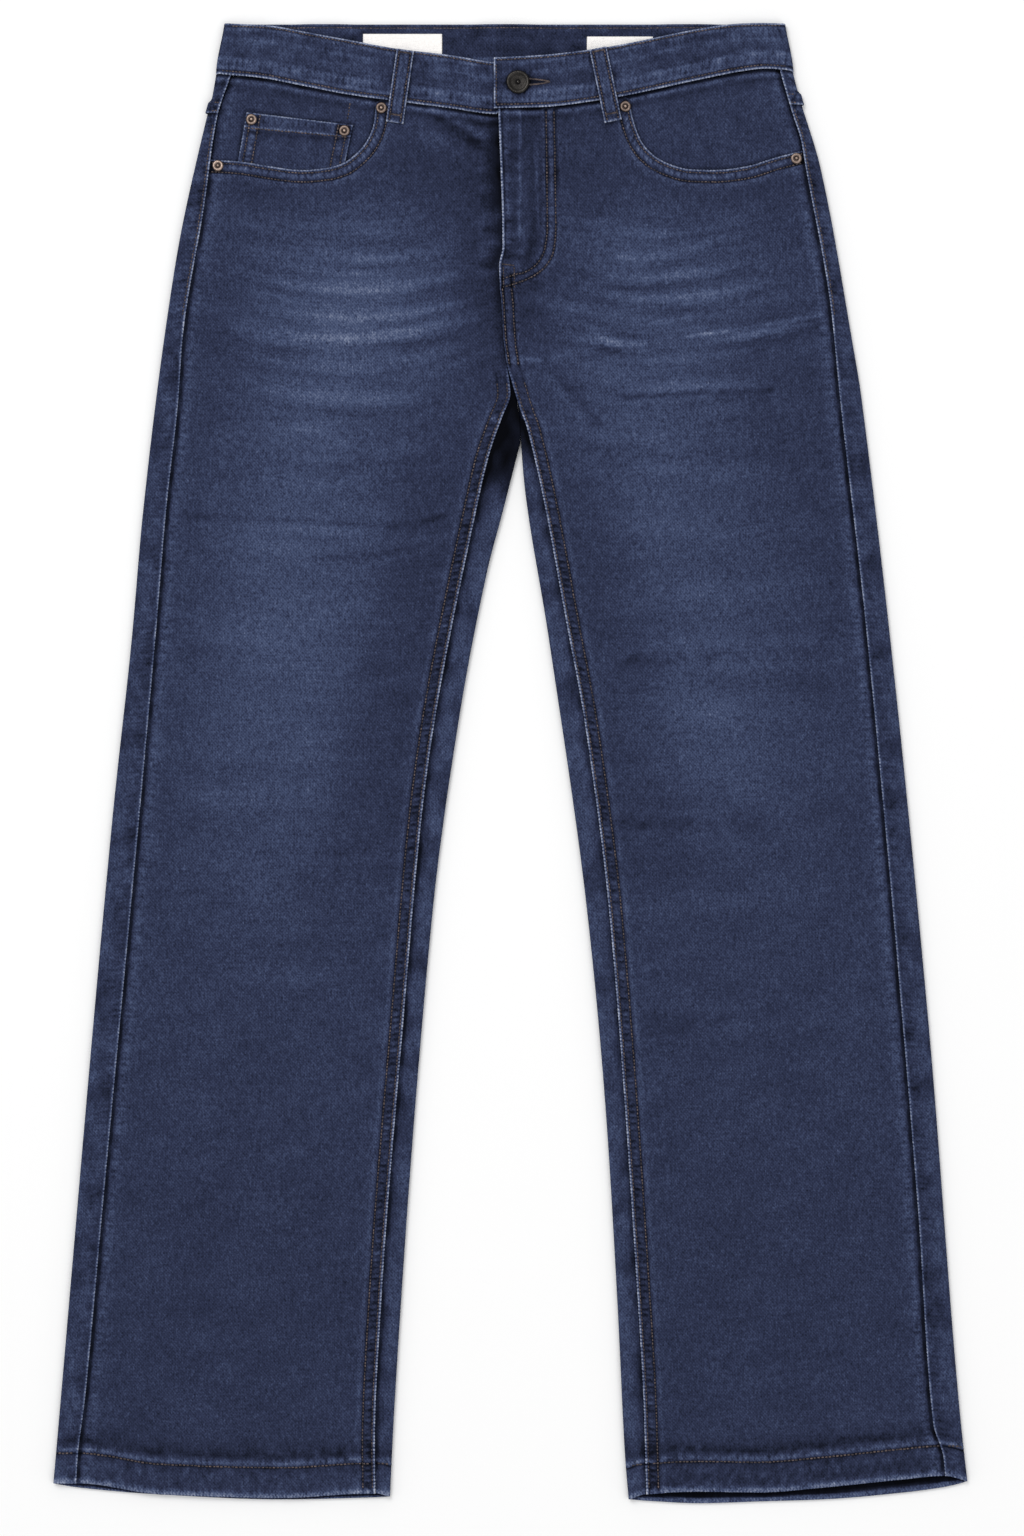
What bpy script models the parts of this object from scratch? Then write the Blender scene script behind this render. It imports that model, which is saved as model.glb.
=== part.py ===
"""Straight leg five-pocket jeans, laid flat on their back with the front up.

The waist is towards +Y, the hems towards -Y and the wearer's left side towards +X. The origin is
under the middle of the garment, on the surface that it lies on. Sizes and tables are in
millimetres and become metres where a mesh is made.
"""

import math

import bmesh
import bpy
import numpy as np
from mathutils import Matrix, Vector

MM = 0.001
COLLECTION = "straight_leg_jeans"

# Cloth and seams
DENIM = 1.2  # one layer of cloth
GAP = 0.3  # between two pieces that meet
HALF_GAP = GAP / 2
BAND_WALL = 2.2  # the waistband is cloth, stiffening and cloth
COIN_WALL = 1.0
PATCH_WALL = 1.2  # a back pocket
LOOP_WALL = 1.3
HEM_WALL = 2.2  # the hem is turned up twice
HEM_TOP = -508.0  # the turned up cloth reaches this far
HEM_MIDDLE = -525.0
HEM_BLEND = -455.0  # above this the rows of a leg are straight
INSEAM_STEP = 1.5  # the front laps over the back at the inseam
FLY_STEP = 1.5  # the left front laps over the right one at the fly
FLY_WIDTH = 45.0
LAP_STEP = 1.6  # the facing and the coin pocket lie this far below what laps over them

# Seams and folded edges, seen from above, as (y, x) pairs
LINES = {
    "right_edge": ((-530, -330.5), (-40, -287), (90, -273), (180, -265), (360, -241.5),
                   (465, -219), (480, -215), (497, -212)),
    "left_edge": ((-530, 330.5), (-460, 323), (-180, 300.5), (262, 253), (305, 246), (430, 223),
                  (480, 208), (497, 203.5)),
    "right_side": ((-530, -313), (-500, -311.5), (-460, -306.5), (-320, -293.5), (90, -255.5),
                   (180, -248), (262, -239), (305, -236), (400, -220.5), (465, -211),
                   (497, -200.5)),
    "left_side": ((-530, 313.5), (-500, 311.5), (-475, 304), (-320, 293), (90, 256.5),
                  (262, 237), (330, 230), (430, 212), (450, 208.5), (465, 203.5), (497, 194)),
    "right_inseam": ((-530, -97), (-490, -97.5), (-390, -93), (-180, -76.5), (-40, -64),
                     (30, -54.5), (180, -25), (223, -15), (249, -6), (266, 0), (284.5, -2.2)),
    "left_inseam": ((-530, 97.5), (-460, 95.5), (-390, 91.5), (-110, 71), (30, 53), (90, 42),
                    (242, 11.5), (254, 7), (284.5, -2.2)),
    "right_inner": ((-530, -87), (-460, -83.5), (-110, -56.5), (30, -37.5), (140, -16.5),
                    (180, -6), (231, 7)),
    "left_inner": ((-530, 85), (-500, 82.5), (-390, 77), (-250, 68.5), (-110, 55.5),
                   (90, 27.5), (202, 9.8), (231, 7.4)),
    "centre_front": ((284.5, -2.2), (305, -5), (330, -6.5), (358, -8.5), (372, -6), (470, -9)),
    "centre_back": ((231, 7.2), (305, 2), (497, -4)),
    "seat_wedge": ((231, 7.2), (246, 6.6), (284.5, -2.2)),
}
# Rows where the seams bend; every panel has straight seams between them
SECTIONS = (-530, -515, -500, -485, -470, -455, -390, -320, -250, -180, -110, -40, 30, 85, 125,
            160, 185, 205, 220, 231, 236, 246, 262, 284.5, 310, 340, 370, 390, 405, 420, 435,
            450, 462, 474, 486, 497)
# Places along the waistband where it bends; the panels below it share them
BAND_STATIONS = {
    "right": (-212, -190, -170, -150, -130, -113, -97, -80, -62, -45, -28, -9.2, -6.5, 10, 24),
    "left": (-12, 8, 24, 43, 62, 85, 100, 116, 132, 148, 164, 180, 192, 204),
}
CROTCH_Y = 284.5
FORK_Y = 231.0  # the legs part below this
WEDGE_TOP = {"right": 279.0, "left": 248.0}  # where the back shows between the inseams
YOKE_AT_SIDE = {"right": 468.0, "left": 474.0}
YOKE_AT_CENTRE = 430.0

# Lower edge of each leg: x, y of the front layer, y of the back layer
HEMS = {
    "right": ((-330.5, -518.5, -519), (-311, -518.5, -522), (-252, -526.5, -527),
              (-165, -529, -530.5), (-97, -525.5, -529), (-87, -528, -528.5)),
    "left": ((85, -530, -530.5), (97.5, -526, -531.5), (136, -524.5, -533.3), (179, -525, -532),
             (225, -521.5, -530.5), (279, -516, -526), (313.5, -513, -521.5),
             (330.5, -517, -517.5)),
}

# Hip pocket openings, from the side seam up to the waistband, as (x, y) pairs
OPENINGS = {
    "right": ((-215.5, 434.5), (-194, 433), (-172.5, 429.5), (-150, 427), (-132.5, 428.5),
              (-120.5, 432), (-110.5, 439.5), (-103.5, 448), (-98.5, 460.5), (-97, 475.5)),
    "left": ((210, 441), (190.5, 436), (169, 429.5), (146.5, 427), (129, 427.5), (114, 431.5),
             (102.5, 438), (94, 448), (88, 464.5), (85, 478.5)),
}
FACING_REACH = 6.0  # the facing runs on under the front

# Front of the waistband: x, y of its top edge, y of its seam
WAIST_FRONT = (
    (-212, 532.6, 496.3), (-180, 531.2, 493.4), (-150, 526.6, 487.7), (-116, 520.6, 481.2),
    (-82, 514.3, 476.5), (-45, 509.9, 471.6), (-9.2, 504.2, 467.2), (-6.5, 504, 471.7),
    (24, 503.5, 472.6),
)
WAIST_FRONT_LEFT = (
    (-12, 507.5, 471), (22, 509.3, 471.8), (65, 514.4, 477), (87, 518.5, 481.2), (139, 529.1, 492.7),
    (166, 532.3, 498), (184, 532.9, 500), (204, 532.6, 498.5),
)
BACK_TOP_Y = 532.4
BACK_SEAM_Y = 495.6
BAND_EDGE_Z = 6.2  # at the folded sides
BAND_END_Z = {"right": 6.3, "left": 8.9}  # the left end laps over the right one
BAND_LEVEL_TO = 150.0  # from the sides to this far from the middle the band is level
BAND_RISE = {"right": 90.0, "left": 110.0}  # and over this much it rises
BAND_LEAN = 6.5  # the folded sides lean in by this much at the top

# Height of the upper surface over the floor, along y
BODY_HEIGHT = ((-533, 5.4), (-508, 5.2), (-492, 4.0), (-460, 3.4), (150, 3.4), (230, 4.4),
               (300, 5.6), (430, 6.2), (500, 6.2))
EDGE_HEIGHT = ((-533, 6.0), (-495, 5.4), (-400, 5.2), (250, 5.2), (350, 6.0), (500, 6.2))
EDGE_REACH = 50.0  # how far in from a folded edge its height counts
FORK_BLEND = 60.0  # the inner edges of the legs fade in below the fork over this much

# Folds and whiskers: x, y at the start, y half way, x, y at the end, half width, height
FOLDS = (
    (-150, 372, 362, -26, 373, 5, 0.6),
    (-178, 349, 340, -24, 356, 5, 0.8),
    (-192, 329, 319, -20, 335, 5, 0.9),
    (-206, 313, 304, -20, 322, 6, 1.1),
    (-184, 270, 262, -60, 262, 7, 0.7),
    (47, 369, 364, 158, 380, 5, 0.6),
    (58, 351, 350, 179, 363, 5, 0.8),
    (56, 339, 333, 192, 347, 5, 0.9),
    (53, 313, 300, 102, 297, 5, 1.1),
    (128, 306, 309, 226, 321, 5, 1.2),
    (80, 263, 268, 190, 269, 7, 0.8),
    (92, 82, 78, 255, 84, 11, 0.8),
    (78, -50, -46, 165, -50, 11, 0.6),
    (128, -186, -183, 205, -187, 11, 0.5),
    (-186, 176, 168, -30, 166, 11, 0.5),
)

# Small pieces
COIN_CORNERS = ((-190.2, 468.9), (-113.5, 459.6), (-120.5, 426), (-197.5, 427))
RIVET_RADIUS = 4.1
RIVETS = {
    "rivet_hip_right_top": (-93.0, 471.6), "rivet_hip_right_side": (-210.6, 430.0),
    "rivet_coin_outer": (-186.6, 463.5), "rivet_coin_inner": (-119.7, 455.4),
    "rivet_hip_left_top": (82.6, 472.6), "rivet_hip_left_side": (205.6, 435.2),
}
BUTTON_AT = (5.3, 489.6)
BUTTON_RADIUS = 8.35
RIVET_STEPS = 14
BUTTON_STEPS = 24
LOOP_WIDTH = 12.5
FRONT_LOOPS = {  # x, y at the top and at the bottom
    "belt_loop_front_right": ((-75.7, 513.2), (-83.4, 460.7)),
    "belt_loop_front_left": ((62.7, 514.0), (73.7, 461.4)),
}
BACK_LOOPS = {
    "belt_loop_back_right": -135.0, "belt_loop_back_centre": -4.0, "belt_loop_back_left": 128.0,
}
BACK_LOOP_Y = (486.0, 532.0)
LOOP_SPREAD = (8.0, 26.0)  # either side of a back loop the cloth over it is level, then level again
LOOP_LIFT = LOOP_WALL + GAP
LOOP_BOW = 0.7  # a front loop stands off the band half way up
LOOP_CROWN = 0.15
BACK_POCKET = {"width": 136.0, "height": 146.0, "point": 16.0, "top_y": 398.0}
BACK_POCKET_X = {"right": -108.0, "left": 106.0}
POCKET_LIFT = PATCH_WALL + GAP
LABELS = {"label_right": (-106.3, -49.4, 505.0, 525.5), "label_left": (55.0, 102.5, 505.0, 523.6)}
LABEL_WALL = 0.5
ZIP = {"width": 20.0, "from_edge": 2.0, "bottom": 345.0, "top": 462.0, "wall": 1.0}
SLIDER = {"width": 8.0, "length": 11.0, "wall": 1.5, "below_top": 4.0}

COLOURS = {  # base colour, roughness, metallic
    "denim": ((0.035, 0.055, 0.14), 0.9, 0.0),
    "denim_band": ((0.03, 0.045, 0.12), 0.9, 0.0),
    "label_cloth": ((0.8, 0.79, 0.76), 0.8, 0.0),
    "antique_copper": ((0.45, 0.27, 0.17), 0.35, 1.0),
    "gunmetal": ((0.09, 0.085, 0.075), 0.35, 1.0),
    "zip_tape": ((0.03, 0.035, 0.06), 0.85, 0.0),
}
TOWARDS = {"right": -1.0, "left": 1.0}


def curve(pairs):
    """A smooth function through (at, value) pairs that never overshoots them, level outside."""
    at, value = (np.array(column, float) for column in zip(*sorted(pairs)))
    rise = np.diff(value) / np.diff(at)
    slope = np.concatenate([rise[:1], np.zeros(len(at) - 2), rise[-1:]])
    same_way = rise[:-1] * rise[1:] > 0
    product = 2 * rise[:-1] * rise[1:]
    slope[1:-1] = np.where(same_way, product / np.where(same_way, rise[:-1] + rise[1:], 1), 0)

    def evaluate(where):
        where = np.clip(where, at[0], at[-1])
        i = np.clip(np.searchsorted(at, where) - 1, 0, len(at) - 2)
        step = at[i + 1] - at[i]
        t = (where - at[i]) / step
        first = (1 + 2 * t) * (1 - t) ** 2 * value[i] + t * t * (3 - 2 * t) * value[i + 1]
        return first + step * (t * (1 - t) ** 2 * slope[i] - t * t * (1 - t) * slope[i + 1])

    return evaluate


def straight_between(line, stations):
    """The line as straight runs between these stations, so that pieces with other rows still meet."""
    values = line(np.array(stations, float))
    return lambda where: np.interp(where, stations, values)


LINE = {name: straight_between(curve(pairs), SECTIONS) for name, pairs in LINES.items()}
HEM_FRONT = {side: curve([(x, front) for x, front, back in rows]) for side, rows in HEMS.items()}
HEM_BACK = {side: curve([(x, back) for x, front, back in rows]) for side, rows in HEMS.items()}
WAIST_TOP = {"right": curve([(x, top) for x, top, seam in WAIST_FRONT]),
             "left": curve([(x, top) for x, top, seam in WAIST_FRONT_LEFT])}
WAIST_SEAM = {
    "right": straight_between(curve([(x, seam) for x, top, seam in WAIST_FRONT]),
                              BAND_STATIONS["right"]),
    "left": straight_between(curve([(x, seam) for x, top, seam in WAIST_FRONT_LEFT]),
                             BAND_STATIONS["left"]),
}
body_height = curve(BODY_HEIGHT)
edge_height = curve(EDGE_HEIGHT)


def ease(t):
    t = np.clip(t, 0.0, 1.0)
    return t * t * (3 - 2 * t)


def mix(a, b, t):
    return a + (b - a) * t


def plateau(value, low, high, ramp):
    """1 between low and high, easing to 0 over ramp outside them."""
    return ease((value - low) / ramp + 1) * ease((high - value) / ramp + 1)


def inner_line(side, y):
    """The inner side of a front panel: its inseam, then the centre front."""
    return LINE[f"{side}_inseam"](y) if y < CROTCH_Y else LINE["centre_front"](y)


def relief(x, y):
    """How far the folds and whiskers raise the cloth."""
    height = 0.0
    for x_start, y_start, y_middle, x_end, y_end, width, rise in FOLDS:
        t = (x - x_start) / (x_end - x_start)
        if not 0 < t < 1:
            continue
        along = mix(y_start, y_end, t) + 4 * t * (1 - t) * (y_middle - (y_start + y_end) / 2)
        off = (y - along) / width
        ridge = 1.6 * math.exp(-off * off) - 0.6 * math.exp(-off * off / 4)
        height += rise * math.sin(math.pi * t) ** 0.6 * ridge
    return height


def top_height(side, x, y):
    """Height of the upper surface of the laid cloth, without laps."""
    away = abs(x - LINE[f"{side}_edge"](y))
    rim = ease(1.2 - away / EDGE_REACH)
    fork_top = FORK_Y + 40
    if y < fork_top:
        inside = abs(x - LINE[f"{side}_inner"](y))
        rim = max(rim, ease(1.2 - inside / EDGE_REACH) * ease((fork_top - y) / FORK_BLEND))
    return mix(body_height(y), edge_height(y), rim) + relief(x, y)


def front_height(side, x, y):
    """Height of a front panel's upper surface, with its laps at the inseam and the fly."""
    inner = abs(x - inner_line(side, y))
    lap = INSEAM_STEP * ease(1 - (inner - 10) / 6) * ease((CROTCH_Y + 10 - y) / 30)
    if side == "left":
        lap = max(lap, FLY_STEP * ease(1 - inner / FLY_WIDTH) * ease((y - CROTCH_Y + 30) / 30))
    return top_height(side, x, y) + lap


def seat_lift(side, x, y):
    """How far the back rises off the floor over its patch pocket."""
    off = (x - BACK_POCKET_X[side]) * TOWARDS[side]
    half = BACK_POCKET["width"] / 2
    bottom = BACK_POCKET["top_y"] - BACK_POCKET["height"]
    across = plateau(off, -half - 12, half + 28, 20)
    return POCKET_LIFT * across * plateau(y, bottom - 12, BACK_POCKET["top_y"] + 10, 20)


def loop_lift(x, y):
    """How far the waistband and the yoke rise off the floor over the back belt loops."""
    level, far = LOOP_SPREAD
    ramp = far - level
    lift = 0.0
    for centre in BACK_LOOPS.values():
        lift = max(lift, plateau(x, centre - level, centre + level, ramp))
    return LOOP_LIFT * lift * ease((y - BACK_LOOP_Y[0] + 20) / ramp)


def band_height(side, x):
    """Height of the front of the waistband over the floor."""
    rise = ease((BAND_LEVEL_TO - x * TOWARDS[side]) / BAND_RISE[side])
    return mix(BAND_EDGE_Z, BAND_END_Z[side], rise)


def material(name):
    found = bpy.data.materials.get(name)
    if found:
        return found
    colour, roughness, metallic = COLOURS[name]
    found = bpy.data.materials.new(name)
    found.use_nodes = True
    shader = found.node_tree.nodes["Principled BSDF"]
    shader.inputs["Base Color"].default_value = (*colour, 1.0)
    shader.inputs["Roughness"].default_value = roughness
    shader.inputs["Metallic"].default_value = metallic
    found.diffuse_color = (*colour, 1.0)
    return found


def add_object(name, data, finish):
    obj = bpy.data.objects.new(name, data)
    bpy.data.collections[COLLECTION].objects.link(obj)
    data.materials.append(material(finish))
    return obj


def sheet(name, grids, wall, finish, thick=None):
    """A wall of cloth inside an open surface that is given as grids of points in mm.

    The first face of the first grid looks up. thick, if given, tells from a point whether the
    wall has its full thickness there; elsewhere it has DENIM.
    """
    mesh = bpy.data.meshes.new(name)
    build = bmesh.new()
    for rows in grids:
        verts = [[build.verts.new(Vector(point) * MM) for point in row] for row in rows]
        for lower, upper in zip(verts, verts[1:]):
            for a, b, c, d in zip(lower, lower[1:], upper[1:], upper):
                build.faces.new((a, b, c, d))
    bmesh.ops.remove_doubles(build, verts=build.verts, dist=0.00001)
    bmesh.ops.recalc_face_normals(build, faces=build.faces)
    build.faces.ensure_lookup_table()
    if build.faces[0].normal.z < 0:
        bmesh.ops.reverse_faces(build, faces=build.faces)
    build.to_mesh(mesh)
    build.free()
    mesh.shade_smooth()
    obj = add_object(name, mesh, finish)
    wall_of = obj.modifiers.new("cloth", "SOLIDIFY")
    wall_of.thickness = wall * MM
    wall_of.offset = -1
    wall_of.use_even_offset = True
    wall_of.use_quality_normals = True
    if thick:
        group = obj.vertex_groups.new(name="full_thickness")
        for vert in mesh.vertices:
            if thick(vert.co):
                group.add([vert.index], 1.0, "REPLACE")
        wall_of.vertex_group = group.name
        wall_of.thickness_vertex_group = DENIM / wall
    return obj


def plate(name, outline, low, wall, finish):
    """A flat piece with this outline, from low up to low + wall."""
    data = bpy.data.curves.new(name, "CURVE")
    data.dimensions = "2D"
    data.fill_mode = "BOTH"
    data.extrude = wall * MM / 2
    spline = data.splines.new("POLY")
    spline.points.add(len(outline) - 1)
    for point, (x, y) in zip(spline.points, outline):
        point.co = (x * MM, y * MM, 0, 1)
    spline.use_cyclic_u = True
    obj = add_object(name, data, finish)
    obj.location.z = (low + wall / 2) * MM
    return obj


def box(name, low, high, finish):
    """A box between two corners."""
    low = Vector(low) * MM
    high = Vector(high) * MM
    place = Matrix.LocRotScale((low + high) / 2, None, high - low)
    mesh = bpy.data.meshes.new(name)
    build = bmesh.new()
    bmesh.ops.create_cube(build, size=1, matrix=place)
    build.to_mesh(mesh)
    build.free()
    return add_object(name, mesh, finish)


def turned(name, profile, at, finish, steps):
    """A turned piece: profile is (radius, height) from the top of the axis down its outer side."""
    mesh = bpy.data.meshes.new(name)
    points = [(radius * MM, 0, height * MM) for radius, height in profile]
    mesh.from_pydata(points, [(i, i + 1) for i in range(len(points) - 1)], [])
    obj = add_object(name, mesh, finish)
    obj.location = Vector(at) * MM
    spin = obj.modifiers.new("turn", "SCREW")
    spin.steps = spin.render_steps = steps
    spin.use_merge_vertices = True
    spin.merge_threshold = 0.00001
    spin.use_smooth_shade = True
    return obj


# Front panels

LEG_ROWS = (HEM_BLEND, -400, -330, -260, -200, -185, -170, -120, -64, -48, -32, 10, 62, 80, 98,
            130, 152, 168, 184, 215, 240, 254, 264, 274, 284.5, 296, 304, 312, 320, 329, 338,
            347, 357, 366, 378, 392)
HEM_ROWS = (0.0, 0.15, 0.31, 0.38, 0.65)
FRONT_TOP_ROW = 405.0
COLUMNS = 14
OPENING_COLUMNS = 9
TOP_ROWS = (0.0, 0.3, 0.6, 0.85, 1.0)


def path_points(pairs, count):
    """count points evenly spaced along a smooth path through (x, y) pairs."""
    pairs = np.array(pairs, float)
    along = np.concatenate([[0], np.cumsum(np.hypot(*np.diff(pairs, axis=0).T))])
    across = np.linspace(0, along[-1], count)
    xs = curve(list(zip(along, pairs[:, 0])))(across)
    ys = curve(list(zip(along, pairs[:, 1])))(across)
    return list(zip(xs, ys))


def front_top_edge(side):
    """The upper edge of a front panel: its pocket opening, then the waistband's seam."""
    opening = path_points(OPENINGS[side], OPENING_COLUMNS + 1)
    start = opening[-1][0]
    end = LINE["centre_front"](470) + HALF_GAP * TOWARDS[side]
    low, high = sorted((start, end))
    xs = [x for x in BAND_STATIONS[side] if low + 2 < x < high - 2] + [end]
    if side == "left":
        xs = xs[-2::-1] + xs[-1:]
    return opening[:-1] + [(x, WAIST_SEAM[side](x) - GAP) for x in [start] + xs]


def front_columns(side, y):
    """x of each column of a front panel at a height y."""
    step_in = HALF_GAP * TOWARDS[side]
    outer = LINE[f"{side}_side"](y) - step_in
    inner = inner_line(side, y) + step_in
    return [mix(outer, inner, i / COLUMNS) for i in range(COLUMNS + 1)]


def hem_row(side, hem, t, columns):
    """A row of (x, y) between the bowed hem and the first straight row, t of the way up."""
    row = []
    for i, x in enumerate(columns(side, mix(HEM_MIDDLE, HEM_BLEND, t))):
        y = mix(hem(x), HEM_BLEND, t)
        row.append((columns(side, y)[i], y))
    return row


def in_hem(point):
    return point.y < HEM_TOP * MM


def make_front(side):
    rows = []
    for t in HEM_ROWS:
        rows.append(hem_row(side, HEM_FRONT[side], t, front_columns))
    for y in LEG_ROWS:
        rows.append([(x, y) for x in front_columns(side, y)])
    base = [(x, FRONT_TOP_ROW) for x in front_columns(side, FRONT_TOP_ROW)]
    top = front_top_edge(side)
    top[0] = (LINE[f"{side}_side"](top[0][1]) - HALF_GAP * TOWARDS[side], top[0][1])
    for t in TOP_ROWS:
        row = []
        for (x0, y0), (x1, y1) in zip(base, top, strict=True):
            row.append((mix(x0, x1, t), mix(y0, y1, t)))
        rows.append(row)
    points = [[(x, y, front_height(side, x, y)) for x, y in row] for row in rows]
    sheet(f"front_{side}", [points], HEM_WALL, "denim", in_hem)


# Back panels and yokes

ARC_STEPS = 6
STRIP_COLUMNS = 2
ON_TOP = STRIP_COLUMNS + ARC_STEPS // 2 + 1  # points from the side seam to the edge's outermost one
BACK_ROWS = tuple(y for y in SECTIONS if HEM_BLEND <= y <= 390)
BACK_TOP_ROWS = (0.35, 0.7, 1.0)
FLOOR_SPREAD = (0.0, 0.08, 0.2, 0.36, 0.52, 0.68, 0.8, 0.9, 1.0)


def arc_shares():
    """How far up the folded edge each point of outer_round lies: 1 on top, 0 on the floor."""
    arc = [(1 + math.cos(math.pi * i / ARC_STEPS)) / 2 for i in range(ARC_STEPS + 1)]
    return [1.0] * STRIP_COLUMNS + arc


def outer_round(side, y):
    """The back's cloth from the side seam on top, round the folded edge, to the floor."""
    towards = TOWARDS[side]
    edge = LINE[f"{side}_edge"](y)
    seam = LINE[f"{side}_side"](y) + HALF_GAP * towards
    high = top_height(side, edge, y)
    radius = high / 2
    points = []
    for i in range(STRIP_COLUMNS):
        x = mix(seam, edge - radius * towards, i / STRIP_COLUMNS)
        points.append((x, top_height(side, x, y)))
    for i in range(ARC_STEPS + 1):
        turn = math.pi * i / ARC_STEPS
        points.append((edge - radius * towards * (1 - math.sin(turn)), radius * (1 + math.cos(turn))))
    return points


def inner_round(side, y):
    """The back's cloth at the inner folded edge of a leg, from the floor up to the middle, and on
    from the middle to the inseam. Above the fork both halves lie flat."""
    towards = TOWARDS[side]
    half = ARC_STEPS // 2
    if y <= FORK_Y:
        edge = LINE[f"{side}_inner"](y)
        flat = 0.0
    else:
        edge = LINE["seat_wedge"](y) + HALF_GAP * towards
        flat = ease((y - FORK_Y) / 6)
    high = top_height(side, edge, y)
    radius = high / 2
    floor_edge = edge if y <= FORK_Y else LINE["centre_back"](y) + HALF_GAP * towards
    lower, upper = [], []
    for i in range(half + 1):
        turn = math.pi / 2 * i / half
        arc_x = floor_edge + radius * towards * (1 - math.sin(turn))
        arc_z = radius * (1 - math.cos(turn))
        lower.append((arc_x, mix(arc_z, 0, flat)))
    for i in range(half + 1):
        turn = math.pi / 2 * i / half
        arc_x = edge + radius * towards * (1 - math.cos(turn))
        arc_z = radius * (1 + math.sin(turn))
        upper.append((arc_x, mix(arc_z, high, flat)))
    seam = LINE[f"{side}_inseam"](y) - HALF_GAP * towards
    start = upper[-1][0]
    if (seam - start) * towards < STRIP_COLUMNS:
        upper = [(mix(edge, seam, i / (half + STRIP_COLUMNS)), high) for i in range(half + 1)]
        start = upper[-1][0]
    for i in range(1, STRIP_COLUMNS + 1):
        x = mix(start, seam, i / STRIP_COLUMNS)
        upper.append((x, top_height(side, x, y)))
    return lower, upper


def yoke_y(side, x, near_y, on_top):
    """y of the yoke seam: level on the front strip, falling to the middle on the back."""
    if on_top:
        return YOKE_AT_SIDE[side]
    edge = LINE[f"{side}_edge"](near_y)
    centre = LINE["centre_back"](near_y)
    return mix(YOKE_AT_SIDE[side], YOKE_AT_CENTRE, np.clip((x - edge) / (centre - edge), 0, 1))


def back_sections(side, y):
    """The (x, z) points of one row of a back panel: its main sheet from the side seam round to
    the middle of the inner edge, and its flap from there to the inseam."""
    main = outer_round(side, y)
    lower, flap = inner_round(side, y)
    start = main[-1][0]
    for share in FLOOR_SPREAD[1:-1]:
        x = mix(start, lower[0][0], share)
        main.append((x, seat_lift(side, x, y)))
    return main + lower, flap


def make_back(side):
    main, flap = [], []
    for t in HEM_ROWS:
        straight = back_sections(side, mix(HEM_MIDDLE, HEM_BLEND, t))
        for part, grid in enumerate((main, flap)):
            row = []
            for i, (x, _) in enumerate(straight[part]):
                y = mix(HEM_BACK[side](x), HEM_BLEND, t)
                x, z = back_sections(side, y)[part][i]
                row.append((x, y, z))
            grid.append(row)
    for y in BACK_ROWS:
        main.append([(x, y, z) for x, z in back_sections(side, y)[0]])
    for y in [y for y in BACK_ROWS if y < WEDGE_TOP[side]] + [WEDGE_TOP[side]]:
        flap.append([(x, y, z) for x, z in back_sections(side, y)[1]])
    for t in BACK_TOP_ROWS:
        near_y = mix(BACK_ROWS[-1], YOKE_AT_SIDE[side], t)
        row = []
        for i, (x, _) in enumerate(back_sections(side, near_y)[0]):
            top = yoke_y(side, x, near_y, i < ON_TOP) - HALF_GAP
            y = mix(BACK_ROWS[-1], top, t)
            x, z = back_sections(side, y)[0][i]
            row.append((x, y, z))
        main.append(row)
    sheet(f"back_{side}", [main, flap], HEM_WALL, "denim", in_hem)


YOKE_ROWS = (0.0, 0.4, 0.75, 1.0)


def make_yoke(side):
    towards = TOWARDS[side]
    level, far = LOOP_SPREAD
    loops = sorted((x for x in BACK_LOOPS.values() if x * towards > 20), key=abs, reverse=True)
    rows = []
    for t in YOKE_ROWS:
        near_y = mix(YOKE_AT_SIDE[side], BACK_SEAM_Y, t)
        centre = LINE["centre_back"](near_y) + HALF_GAP * towards
        floor = [x + off * towards for x in loops for off in (far, level, -level, -far)]
        floor += [centre + off * towards for off in (60, far, level, 0)]
        rounded = outer_round(side, near_y)
        shares = arc_shares() + [0.0] * len(floor)
        row = []
        for i, x in enumerate([x for x, _ in rounded] + floor):
            start = yoke_y(side, x, near_y, i < ON_TOP) + HALF_GAP
            end = mix(BACK_SEAM_Y, WAIST_SEAM[side](x), shares[i]) - GAP
            y = mix(start, end, t)
            if i < len(rounded):
                x, z = outer_round(side, y)[i]
            else:
                z = loop_lift(x, y)
            row.append((x, y, z))
        rows.append(row)
    sheet(f"yoke_{side}", [rows], DENIM, "denim")


# Waistband

BAND_ROWS = (0.0, 0.35, 0.7, 1.0)


def band_stations():
    """Stations round the waistband as (x, y of the top, y of the seam, z), from its hidden end."""
    stations = []
    for x in reversed(BAND_STATIONS["right"][1:]):
        stations.append((x, WAIST_TOP["right"](x), WAIST_SEAM["right"](x), band_height("right", x)))
    turns = [math.pi * i / ARC_STEPS for i in range(ARC_STEPS + 1)]
    stations += [band_round("right", turn) for turn in turns]
    level, far = LOOP_SPREAD
    offsets = [x + off for x in BACK_LOOPS.values() for off in (-far, -level, level, far)]
    for x in [-185, *offsets, 178]:
        stations.append((x, BACK_TOP_Y, BACK_SEAM_Y, loop_lift(x, BACK_TOP_Y)))
    stations += [band_round("left", turn) for turn in reversed(turns)]
    for x in reversed(BAND_STATIONS["left"][:-1]):
        stations.append((x, WAIST_TOP["left"](x), WAIST_SEAM["left"](x), band_height("left", x)))
    return stations


def band_round(side, turn):
    """A station on the folded side of the band: turn is 0 on top and pi on the floor."""
    edge = LINE[f"{side}_edge"](BACK_SEAM_Y)
    radius = BAND_EDGE_Z / 2
    x = edge - radius * TOWARDS[side] * (1 - math.sin(turn))
    share = (1 + math.cos(turn)) / 2
    top = mix(BACK_TOP_Y, WAIST_TOP[side](edge), share)
    seam = mix(BACK_SEAM_Y, WAIST_SEAM[side](edge), share)
    return x, top, seam, BAND_EDGE_Z * share


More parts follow.
